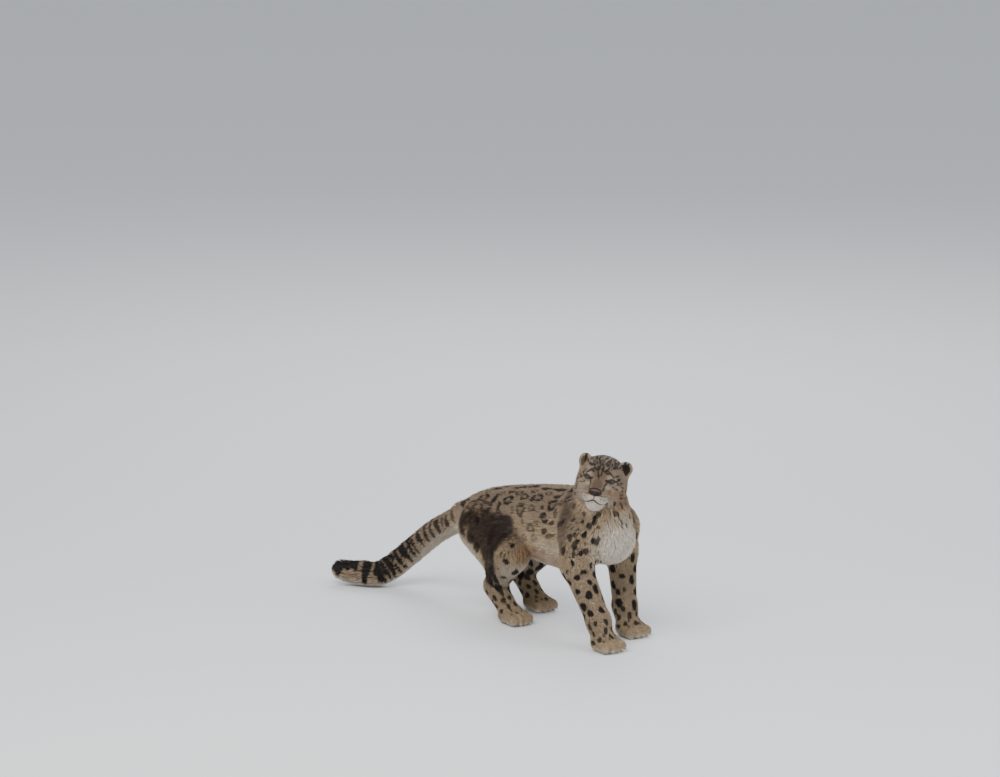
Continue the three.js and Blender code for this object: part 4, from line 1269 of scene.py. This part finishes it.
# What a user may change.
class LeopardCoat(bpy.types.PropertyGroup):
    spacing: bpy.props.FloatProperty(
        name="Tuft spacing", description="Millimetres between tufts on the body", default=3.45, min=3, max=20)
    cream: bpy.props.FloatVectorProperty(
        name="Cream", description="The pale ground of the flanks",
        default=(0.62, 0.47, 0.29), subtype="COLOR")
    buff: bpy.props.FloatVectorProperty(
        name="Buff", description="The smoky ground of the back", default=(0.27, 0.195, 0.13), subtype="COLOR")
    white: bpy.props.FloatVectorProperty(
        name="White", description="The chin, breast and belly", default=(0.92, 0.84, 0.71), subtype="COLOR")
    mark: bpy.props.FloatVectorProperty(
        name="Marks", description="Spots, rings and bars", default=(0.016, 0.012, 0.010), subtype="COLOR")
    heart: bpy.props.FloatVectorProperty(
        name="Heart of the rings", description="The grey-brown middle of a rosette",
        default=(0.17, 0.125, 0.085),
        subtype="COLOR")
    stain: bpy.props.FloatVectorProperty(
        name="Stain", description="The matted dark patch over the right thigh", default=(0.022, 0.012, 0.009),
        subtype="COLOR")
    rust: bpy.props.FloatVectorProperty(
        name="Rust", description="The warm tint of the belly fringe and cheek", default=(0.36, 0.17, 0.075),
        subtype="COLOR")
    bridge: bpy.props.FloatVectorProperty(
        name="Nose bridge", description="Tan fur above the nose",
        default=(0.10, 0.054, 0.036), subtype="COLOR")
    # The colour of the painted shade in the crease behind the right shoulder, with its darker fur.
    fur_and_shade_band: bpy.props.FloatVectorProperty(
        name="Shoulder shade", description="The grey-brown band behind the right shoulder",
        default=(0.055, 0.04, 0.03), subtype="COLOR")
    under: bpy.props.FloatVectorProperty(
        name="Underfur", description="The darker wool between the tufts",
        default=(0.19, 0.135, 0.09), subtype="COLOR")


class LeopardFace(bpy.types.PropertyGroup):
    iris: bpy.props.FloatVectorProperty(
        name="Iris", description="The pale grey-green of the eyes",
        default=(0.08, 0.078, 0.052), subtype="COLOR")
    rim: bpy.props.FloatVectorProperty(
        name="Lid rims", description="The dark edges of the lids and lips",
        default=(0.012, 0.009, 0.008), subtype="COLOR")
    claw_reach: bpy.props.FloatProperty(
        name="Claw reach", description="How far a claw reaches from its toe",
        default=0.013, min=0.004, max=0.03,
        unit="LENGTH")
    leather: bpy.props.FloatVectorProperty(
        name="Nose leather", description="The nose", default=(0.012, 0.008, 0.007), subtype="COLOR")
    claw: bpy.props.FloatVectorProperty(
        name="Claws", description="Horn of the claws", default=(0.16, 0.12, 0.085), subtype="COLOR")
    whisker: bpy.props.FloatProperty(
        name="Whisker length", description="The longest whisker",
        default=0.066, min=0.02, max=0.12, unit="LENGTH")


class LeopardStage(bpy.types.PropertyGroup):
    floor: bpy.props.FloatVectorProperty(
        name="Floor", description="The pale floor", default=(0.72, 0.73, 0.75), subtype="COLOR")
    azimuth: bpy.props.FloatProperty(
        name="Azimuth", description="The camera's turn round the animal",
        default=math.radians(50), unit="ROTATION")
    elevation: bpy.props.FloatProperty(
        name="Elevation", description="The camera's height over the floor",
        default=math.radians(13), unit="ROTATION")
    lens: bpy.props.FloatProperty(
        name="Focal length", description="The camera's long lens in millimetres", default=500)
    pixel: bpy.props.FloatProperty(
        name="Pixel", description="What one pixel of the picture spans at the animal",
        default=0.00315, precision=5,
        unit="LENGTH")


FIELDS = {}
FINISHES = {}


class LEOPARD_OT_skin(bpy.types.Operator):
    """The one skin under the coat, with its lids, ears and marks"""

    bl_idname = "leopard.skin"
    bl_label = "Skin"

    def execute(self, context):
        FIELDS["tips"], skin = field_grids()
        FIELDS["skin"] = carve_face(skin)
        FIELDS["tips"] = np.minimum(FIELDS["tips"], FIELDS["skin"] - 2)
        draw = np.random.default_rng(SEED)
        spots = Spots(draw)
        FIELDS["spots"] = spots
        seen_marks(spots)
        spots_round_trunk(spots, draw)
        spots_on_shoulders(spots, draw)
        spots_on_legs(spots, draw)
        spots_on_head(spots, draw)
        vertices, faces = surface_net(FIELDS["skin"])
        for _ in range(2):
            d = sample(FIELDS["skin"], vertices)
            vertices = vertices - slope(FIELDS["skin"], vertices, 1.5) * np.clip(d, -2, 2)[:, None]
        piece = mesh_object("skin", vertices, faces)
        mesh = piece.data
        mesh.shade_smooth()
        normals = np.empty(len(vertices) * 3, np.float32)
        mesh.vertices.foreach_get("normal", normals)
        FIELDS["mesh"] = (vertices, faces, normals.reshape(-1, 3).astype(float))
        facts = coat_facts(vertices)
        FIELDS["facts"] = facts
        for key, values in paint(vertices, facts[2]).items():
            write_attribute(mesh, key, values)
        FINISHES["fur"] = coat_finish("fur", context.scene.leopard_coat)
        mesh.materials.append(FINISHES["fur"])
        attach(piece, "root")
        flesh = [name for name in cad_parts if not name.startswith(("eye", "nose"))]
        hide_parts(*flesh)
        return {"FINISHED"}


def triangles_of(faces):
    return np.concatenate((faces[:, (0, 1, 2)], faces[:, (0, 2, 3)]))


class LEOPARD_OT_coat(bpy.types.Operator):
    """The winter coat in tufts, from the short fur of the face to the long fringe of the belly"""

    bl_idname = "leopard.coat"
    bl_label = "Coat"

    def execute(self, context):
        vertices, faces, normals = FIELDS["mesh"]
        shares = FIELDS["facts"][2]
        corners = triangles_of(faces)
        middles = shares[corners].mean(1)
        share = dict(zip(REGIONS, middles.T))
        head = share["head"] + share["ear"]
        foot = share["leg"] + share["paw"]
        base = context.scene.leopard_coat.spacing * 1
        spacing = base * (1 - 0.54 * head - 0.16 * foot)
        middle = vertices[corners].mean(1)
        bare = near_openings(middle)
        draw = np.random.default_rng(SEED + 1)
        roots, ways, which = scatter(draw, vertices, corners, normals, spacing, 1 - bare)
        head, foot, tail = head[which], foot[which], share["tail"][which]
        kind = np.full(len(roots), 3)
        kind[foot > 0.5] = 2
        kind[tail > 0.5] = 1
        kind[head > 0.5] = 0
        q = in_head(roots)
        right = roots[:, 1] < 0
        front = q[:, 0] > 16
        trunk = kind == 3
        breast = trunk & (roots[:, 0] > 430)
        back = trunk & ~breast & (ways[:, 2] > 0.72)
        belly = trunk & ~breast & (ways[:, 2] < -0.5)
        flank = trunk & ~breast & ~back & ~belly
        face = dict(FACE, width=1.6)
        short = dict(SHORT, width=2.7)
        pieces = [
            ("face_fur", "head", (kind == 0) & front, face),
            ("crown_fur", "head", (kind == 0) & ~front, dict(face, width=2.1, clump=7.0)),
            ("tail_fur", "tail", kind == 1, dict(LONG, width=3.1, length=0.62)),
            ("right_leg_fur", "leg", (kind == 2) & right, short),
            ("left_leg_fur", "leg", (kind == 2) & ~right, short),
            ("breast_fur", "breast", breast, dict(LONG, width=3.2)),
            ("back_fur", "trunk", back, dict(LONG, width=3.0)),
            ("belly_fur", "trunk", belly, dict(LONG, width=3.4, gather=0.5, clump=20.0, length=1.0)),
            ("right_flank_fur", "trunk", flank & right, dict(LONG, width=3.0)),
            ("left_flank_fur", "trunk", flank & ~right, dict(LONG, width=3.0)),
        ]
        total = 0
        for name, unwrapped, chosen, look in pieces:
            piece = grow(name, unwrapped, roots[chosen], ways[chosen], look, draw)
            total += len(piece.data.polygons)
        if total > COAT_LIMIT:
            raise RuntimeError(f"the coat has {total} triangles")
        return {"FINISHED"}


def near_openings(p):
    """1 where no fur grows: the open lids, the nose leather and the line of the lips. Less in the ears."""
    bare = np.zeros(len(p))
    for side in (-1, 1):
        across, up, out = eye_axes(side)
        q = p - EYE_PLACE[side]
        high, low = almond(side, q @ across)
        height = q @ up
        opening = np.maximum(np.maximum(height - high, low - height), -(q @ out))
        bare = np.maximum(bare, (opening < 0.8) & (np.linalg.norm(q, axis=1) < 24))
        bare = np.maximum(bare, (ear_cup(side, p) < 1.2) * 0.75)
    bare = np.maximum(bare, unit_ball(p, NOSE_PLACE, NOSE_HALF) < 1.4)
    line = mouth_line()
    gap = np.min([np.linalg.norm(p - point, axis=1) for point in line], axis=0)
    return np.maximum(bare, gap < 2.6)


def on_skin_from(start, forward, left, up):
    """Places on the skin seen from a point inside the head."""
    origin = on_head(*start)
    ways = unit(np.array([on_head(*f) for f in zip(forward, left, up)]) - origin)
    return hit(FIELDS["skin"], np.broadcast_to(origin, ways.shape).copy(), ways)


def mouth_line():
    left = np.linspace(44, -44, 49)
    forward = np.interp(np.abs(left), (0, 15, 32, 44), (88, 77, 58, 40))
    up = np.interp(np.abs(left), (0, 6, 15, 32, 44), (-57, -60, -64, -67, -70))
    line = on_skin_from((20, 0, -50), forward, left, up)
    for _ in range(3):
        line[1:-1] = (line[:-2] + 2 * line[1:-1] + line[2:]) / 4
    return line


def tube(path, radii, sides=8, closed=False):
    """Points and faces of a round tube along a path, its ends closed unless it is a loop."""
    path = np.asarray(path)
    forward = unit(np.gradient(path, axis=0))
    if closed:
        forward = unit(np.roll(path, -1, 0) - np.roll(path, 1, 0))
    helper = head_way(1, 0, 0)
    side = unit(np.cross(forward, helper))
    third = np.cross(forward, side)
    turn = np.arange(sides) * 2 * np.pi / sides
    radii = np.broadcast_to(radii, len(path))
    rings = path[:, None] + radii[:, None, None] * (side[:, None] * np.cos(turn)[None, :, None] +
                                                    third[:, None] * np.sin(turn)[None, :, None])
    count = len(path)
    faces = []
    for ring in range(count if closed else count - 1):
        after = (ring + 1) % count
        for k in range(sides):
            k2 = (k + 1) % sides
            faces.append((ring * sides + k, ring * sides + k2, after * sides + k2, after * sides + k))
    vertices = rings.reshape(-1, 3)
    if not closed:
        ends = len(vertices)
        first = path[:1] - forward[:1] * radii[0] * 0.5
        final = path[-1:] + forward[-1:] * radii[-1] * 0.5
        vertices = np.vstack((vertices, first, final))
        last = (count - 1) * sides
        for k in range(sides):
            k2 = (k + 1) % sides
            faces.append((k2, k, ends, ends))
            faces.append((last + k, last + k2, ends + 1, ends + 1))
    return vertices, faces


def join_parts(name, parts, finish):
    """One object from several lists of points and faces."""
    mesh = bpy.data.meshes.new(name)
    points, polygons = [], []
    for vertices, faces in parts:
        base = len(points)
        points += [tuple(v) for v in (np.asarray(vertices) + STANCE) * METRES]
        for face in faces:
            corners = list(dict.fromkeys(int(i) for i in face))
            polygons.append([base + i for i in corners])
    mesh.from_pydata(points, [], polygons)
    mesh.validate()
    mesh.shade_smooth()
    mesh.materials.append(finish)
    made = bpy.data.objects.new(name, mesh)
    bpy.context.scene.collection.objects.link(made)
    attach(made, "root")
    return made


def ball(segments, rings):
    """Points of a unit ball with its pole along +z, and its faces."""
    polar = np.linspace(0, np.pi, rings + 1)[1:-1]
    turn = np.arange(segments) * 2 * np.pi / segments
    points = [at(0, 0, 1)]
    for a in polar:
        points += [at(math.sin(a) * math.cos(b), math.sin(a) * math.sin(b), math.cos(a)) for b in turn]
    points.append(at(0, 0, -1))
    faces = [(0, 1 + k, 1 + (k + 1) % segments) for k in range(segments)]
    for ring in range(rings - 2):
        a = 1 + ring * segments
        faces += [(a + k, a + segments + k, a + segments + (k + 1) % segments, a + (k + 1) % segments)
                  for k in range(segments)]
    last = 1 + (rings - 2) * segments
    faces += [(last + k, len(points) - 1, last + (k + 1) % segments) for k in range(segments)]
    return np.array(points), faces


def eye_finish(face):
    f = Finish("eye")
    off = f.mask("off")
    streaks = f.noise(900.0, 2.0)
    iris = f.mix(streaks * 0.5, face.iris, tuple(c * 0.55 for c in face.iris))
    iris = f.mix(f.node("ShaderNodeMapRange", None, {0: off, 1: 0.34, 2: 0.50}), iris, (0.012, 0.010, 0.008))
    pupil = f.node("ShaderNodeMapRange", None, {0: off, 1: 0.19, 2: 0.24})
    colour = f.mix(pupil, (0.003, 0.003, 0.003), iris)
    return f.surface(Base_Color=colour, Roughness=0.12, Coat_Weight=0.6, Coat_Roughness=0.03)


class LEOPARD_OT_eyes(bpy.types.Operator):
    """Pale eyes with round pupils and a wet front, and the dark rims of the lids"""

    bl_idname = "leopard.eyes"
    bl_label = "Eyes"

    def execute(self, context):
        face = context.scene.leopard_face
        finish = eye_finish(face)
        rim = Finish("lid_rim")
        grain = rim.noise(500.0)
        rim = rim.surface(Base_Color=rim.mix(grain * 0.4, face.rim, (0.05, 0.035, 0.028)), Roughness=0.35)
        rims = []
        for side, word in ((-1, "right"), (1, "left")):
            points, faces = ball(40, 28)
            across, up, out = eye_axes(side)
            off = np.arccos(np.clip(points[:, 2], -1, 1))
            bulge = 1 + 0.05 * (1 - smoothstep(0.3, 0.62, off))
            swell = (EYE_RADIUS * bulge - 0.3)[:, None]
            places = EYE_PLACE[side] + (points @ np.stack((across, up, out))) * swell
            piece = join_parts(f"eye_{word}_glass", [(places, faces)], finish)
            write_attribute(piece.data, "off", off)
            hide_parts(f"eye_{word}")
            x = np.linspace(-EYE_WIDTH / 2, EYE_WIDTH / 2, 21)
            high, low = almond(side, x)
            loop = np.concatenate((np.stack((x, high), 1), np.stack((x, low), 1)[-2:0:-1]))
            radius = EYE_RADIUS + 1.0
            reach = np.sqrt(np.maximum(radius**2 - loop[:, 0] ** 2 - loop[:, 1] ** 2, 1))
            path = EYE_PLACE[side] + across * loop[:, :1] + up * loop[:, 1:] + out * reach[:, None]
            upper = np.concatenate((np.full(21, 1.6), np.full(len(loop) - 21, 1.2)))
            rims.append(tube(path, upper, 8, closed=True))
        join_parts("lid_rims", rims, rim)
        return {"FINISHED"}


class LEOPARD_OT_nose(bpy.types.Operator):
    """Nose leather with its nostrils, the dark lips and the cleft under the nose"""

    bl_idname = "leopard.nose"
    bl_label = "Nose and lips"

    def execute(self, context):
        face = context.scene.leopard_face
        points, faces = ball(56, 40)
        points = points[:, (2, 0, 1)]
        faces = [tuple(f) for f in faces]
        forward, left, up = points.T
        narrow = 1 - 0.6 * smoothstep(0.0, 1.0, -up)
        shaped = np.stack((forward * 12, left * 20 * narrow, up * 10.5 - 1.5), 1)
        shaped[:, 2] += 1.2 * (1 - left**2) * (up > 0)
        pit = np.zeros(len(points))
        for side in (-1, 1):
            q = (shaped - at(8.5, side * 8.2, -2.6)) / at(6, 3.4, 2.6)
            pit = np.maximum(pit, np.exp(-np.sum(q * q, 1)))
            q = (shaped - at(6, side * 12, -1.4)) / at(7, 3.2, 1.5)
            pit = np.maximum(pit, 0.8 * np.exp(-np.sum(q * q, 1)))
        groove = np.exp(-(shaped[:, 1] / 0.9) ** 2) * (forward > 0) * smoothstep(0.5, -0.3, up)
        shaped[:, 0] -= 5.5 * pit + 1.3 * groove
        places = NOSE_PLACE + shaped @ HEAD_AXES.T
        f = Finish("nose_leather")
        grain = f.noise(420.0, 4.0)
        pink = f.noise(45.0, 2.0)
        colour = f.mix(pink * 0.4, face.leather, (0.040, 0.020, 0.018))
        colour = f.mix(f.mask("top"), colour, context.scene.leopard_coat.bridge)
        # Painted shade: the nostril pits and the groove below the nose are darker than the rest of the
        # leather.
        colour = f.mix(f.mask("pit"), colour, (0.006, 0.004, 0.004))
        normal = f.bump(grain, 0.5, 0.0012)
        leather = f.surface(Base_Color=colour, Roughness=0.62 - grain * 0.15, Normal=normal, Coat_Weight=0.05,
                            Coat_Roughness=0.4, Specular_IOR_Level=0.3)
        piece = join_parts("nose_leather_pad", [(places, faces)], leather)
        # The mask of the painted shade in the nostrils and the groove.
        write_attribute(piece.data, "pit", np.clip(pit * 1.3 + groove * 0.5, 0, 1))
        write_attribute(piece.data, "top", smoothstep(0.25, 0.75, up) * 0.8)
        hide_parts("nose")
        lips = Finish("lips")
        shine = lips.noise(300.0)
        lip = lips.surface(Base_Color=lips.mix(shine * 0.3, face.rim, (0.05, 0.032, 0.026)), Roughness=0.45)
        line = mouth_line()
        line = line + slope(FIELDS["skin"], line) * 1.2
        swell = 1.6 + 1.4 * np.sin(np.linspace(0, np.pi, len(line)))
        cleft = on_skin_from((20, 0, -50), [88, 91, 92], [0, 0, 0], [-58, -51, -45])
        cleft = smooth_line(cleft, np.linspace(0, 1, 12))
        cleft = cleft + head_way(1, 0, 0) * 1.4
        join_parts("lip_line", [tube(line, swell), tube(cleft, 1.7)], lip)
        return {"FINISHED"}


class LEOPARD_OT_claws(bpy.types.Operator):
    """The tips of the drawn-in claws, a hooked one at each toe"""

    bl_idname = "leopard.claws"
    bl_label = "Claws"

    def execute(self, context):
        face = context.scene.leopard_face
        tips, ways = [], []
        for leg in FORELEGS + HINDLEGS:
            spread = 21 if "elbow" in leg else 19
            for place in TOES:
                reach = toe_reach(place)
                tips.append(at(leg["paw"][0] + reach, leg["paw"][1] + place * spread, 15))
                ways.append(unit(at(1, place * 0.12, -0.1)))
        ways = np.array(ways)
        roots = hit(FIELDS["skin"], np.array(tips), ways, step=0.5)
        t = np.linspace(0, 1, 7)[None, :, None]
        size = face.claw_reach / METRES
        paths = roots[:, None] + ways[:, None] * (size * t - 3) - UP * size * 0.45 * t**2
        thick = (0.16 * size * (1 - 0.8 * t[0, :-1, 0]))[None].repeat(len(paths), 0)
        vertices, faces, _ = blades(paths, np.cross(ways, UP), thick * 0.8, thick * 1.3, 8)
        f = Finish("claw")
        growth = f.noise(200.0)
        horn = f.surface(Base_Color=f.mix(growth * 0.6, face.claw, (0.05, 0.035, 0.025)), Roughness=0.3)
        join_parts("claws", [(vertices, faces)], horn)
        return {"FINISHED"}


class LEOPARD_OT_whiskers(bpy.types.Operator):
    """Long pale whiskers from the lips and the brows"""

    bl_idname = "leopard.whiskers"
    bl_label = "Whiskers"

    def execute(self, context):
        face = context.scene.leopard_face
        draw = np.random.default_rng(SEED + 2)
        starts, ways, lengths = [], [], []
        for side in (-1, 1):
            for row, up in enumerate((-40, -46, -52)):
                for k in range(2):
                    starts.append(on_skin_from((40, 0, -45), [78 - 9 * k], [side * (19 + 7 * k)], [up])[0])
                    ways.append(head_way(0.45 - 0.16 * k, side, 0.12 - 0.2 * row))
                    lengths.append(face.whisker / METRES * draw.uniform(0.55, 1.0))
            for k in range(3):
                starts.append(on_skin_from((20, 0, 0), [50], [side * (30 + 6 * k)], [26])[0])
                ways.append(head_way(0.5, side * 0.6, 1.0))
                lengths.append(face.whisker / METRES * 0.4)
        starts, ways, lengths = np.array(starts), np.array(ways), np.array(lengths)
        t = np.linspace(0, 1, 9)[None, :, None]
        droop = (head_way(-0.5, 0, -0.6) * lengths[:, None] * 0.35)[:, None]
        paths = starts[:, None] + ways[:, None] * lengths[:, None, None] * t + droop * t * t
        radius = 0.18 * (1 - 0.8 * t[0, :-1, 0])[None].repeat(len(paths), 0)
        vertices, faces, _ = blades(paths, np.cross(ways, UP), radius, radius, 5)
        hair = Finish("whisker")
        glow = hair.noise(60.0)
        colour = hair.mix(glow * 0.3, (0.8, 0.77, 0.7), (0.55, 0.5, 0.43))
        white = hair.surface(Base_Color=colour, Roughness=0.4)
        join_parts("whiskers", [(vertices, faces)], white)
        return {"FINISHED"}


# The place on the floor side of the body that the camera is set by, and where the picture shows it.
AIM_PLACE = np.array((0.548, -0.075, 0.130))
AIM_PIXEL = (597.0, 608.0)
PICTURE = (1000, 777)
SENSOR = 36.0
FLOOR_HALF = 40.0
FLOOR_DROP = 0.0006


class LEOPARD_OT_stage(bpy.types.Operator):
    """Pale floor, soft studio lights and the camera at the picture's angle"""

    bl_idname = "leopard.stage"
    bl_label = "Stage"

    def execute(self, context):
        stage = context.scene.leopard_stage
        az, el = stage.azimuth, stage.elevation
        right = np.array((math.cos(az), math.sin(az), 0))
        up = np.array((-math.sin(az) * math.sin(el), math.cos(az) * math.sin(el), math.cos(el)))
        back = np.array((math.sin(az) * math.cos(el), -math.cos(az) * math.cos(el), math.sin(el)))
        aim = AIM_PLACE + right * (PICTURE[0] / 2 - AIM_PIXEL[0]) * stage.pixel
        aim = aim + up * (AIM_PIXEL[1] - PICTURE[1] / 2) * stage.pixel
        camera = bpy.data.objects.new("camera", bpy.data.cameras.new("camera"))
        context.scene.collection.objects.link(camera)
        camera.data.lens, camera.data.sensor_width = stage.lens, SENSOR
        camera.data.clip_end = 300
        distance = stage.pixel * PICTURE[0] * stage.lens / SENSOR
        camera.location = Vector(aim + back * distance)
        camera.rotation_euler = Vector(back).to_track_quat("Z", "Y").to_euler()
        context.scene.camera = camera
        square = ((-1, -1), (1, -1), (1, 1), (-1, 1))
        corners = [(x * FLOOR_HALF, y * FLOOR_HALF, -FLOOR_DROP) for x, y in square]
        floor = mesh_object("floor", corners, [(0, 1, 2, 3)], metres=False)
        f = Finish("floor")
        grain = f.noise(3.0)
        colour = f.mix(grain * 0.2, stage.floor, tuple(c * 0.96 for c in stage.floor))
        floor.data.materials.append(f.surface(Base_Color=colour, Roughness=0.85))
        for name, spot, size, power, warmth in (
                ("key", (1.5, -3.2, 4.2), 3.4, 265, (1, 0.97, 0.93)),
                ("fill", (3.6, 1.2, 3.0), 3.6, 110, (0.92, 0.96, 1)),
                ("back", (-2.6, 2.6, 3.4), 3.0, 120, (0.95, 0.97, 1))):
            light = bpy.data.objects.new(name, bpy.data.lights.new(name, "AREA"))
            light.data.size, light.data.energy, light.data.color = size, power, warmth
            light.location = spot
            light.rotation_euler = Vector(np.array(spot) - (0.1, 0, 0.25)).to_track_quat("Z", "Y").to_euler()
            light.visible_camera = False
            context.scene.collection.objects.link(light)
        world = bpy.data.worlds.new("studio")
        world.use_nodes = True
        world.node_tree.nodes["Background"].inputs["Color"].default_value = (0.86, 0.9, 0.95, 1)
        world.node_tree.nodes["Background"].inputs["Strength"].default_value = 0.72
        context.scene.world = world
        return {"FINISHED"}


OPERATORS = (LEOPARD_OT_stage, LEOPARD_OT_skin, LEOPARD_OT_eyes, LEOPARD_OT_nose, LEOPARD_OT_claws,
             LEOPARD_OT_whiskers, LEOPARD_OT_coat)


class LEOPARD_PT_panel(bpy.types.Panel):
    bl_idname = "LEOPARD_PT_panel"
    bl_label = "Snow leopard"
    bl_space_type = "VIEW_3D"
    bl_region_type = "UI"
    bl_category = "Leopard"

    def draw(self, context):
        for group in ("leopard_coat", "leopard_face", "leopard_stage"):
            settings = getattr(context.scene, group)
            box = self.layout.box()
            for name in settings.bl_rna.properties.keys():
                if name not in ("rna_type", "name"):
                    box.prop(settings, name)
        for operator in OPERATORS:
            self.layout.operator(operator.bl_idname)


GROUPS = {"leopard_coat": LeopardCoat, "leopard_face": LeopardFace, "leopard_stage": LeopardStage}


def register():
    for cls in (*GROUPS.values(), *OPERATORS, LEOPARD_PT_panel):
        bpy.utils.register_class(cls)
    for name, cls in GROUPS.items():
        setattr(bpy.types.Scene, name, bpy.props.PointerProperty(type=cls))


def unregister():
    for name in GROUPS:
        delattr(bpy.types.Scene, name)
    for cls in (LEOPARD_PT_panel, *reversed(OPERATORS), *reversed(GROUPS.values())):
        bpy.utils.unregister_class(cls)


def main():
    register()
    bpy.ops.leopard.stage()
    bpy.ops.leopard.skin()
    bpy.ops.leopard.eyes()
    bpy.ops.leopard.nose()
    bpy.ops.leopard.claws()
    bpy.ops.leopard.whiskers()
    bpy.ops.leopard.coat()


if __name__ == "__main__":
    main()
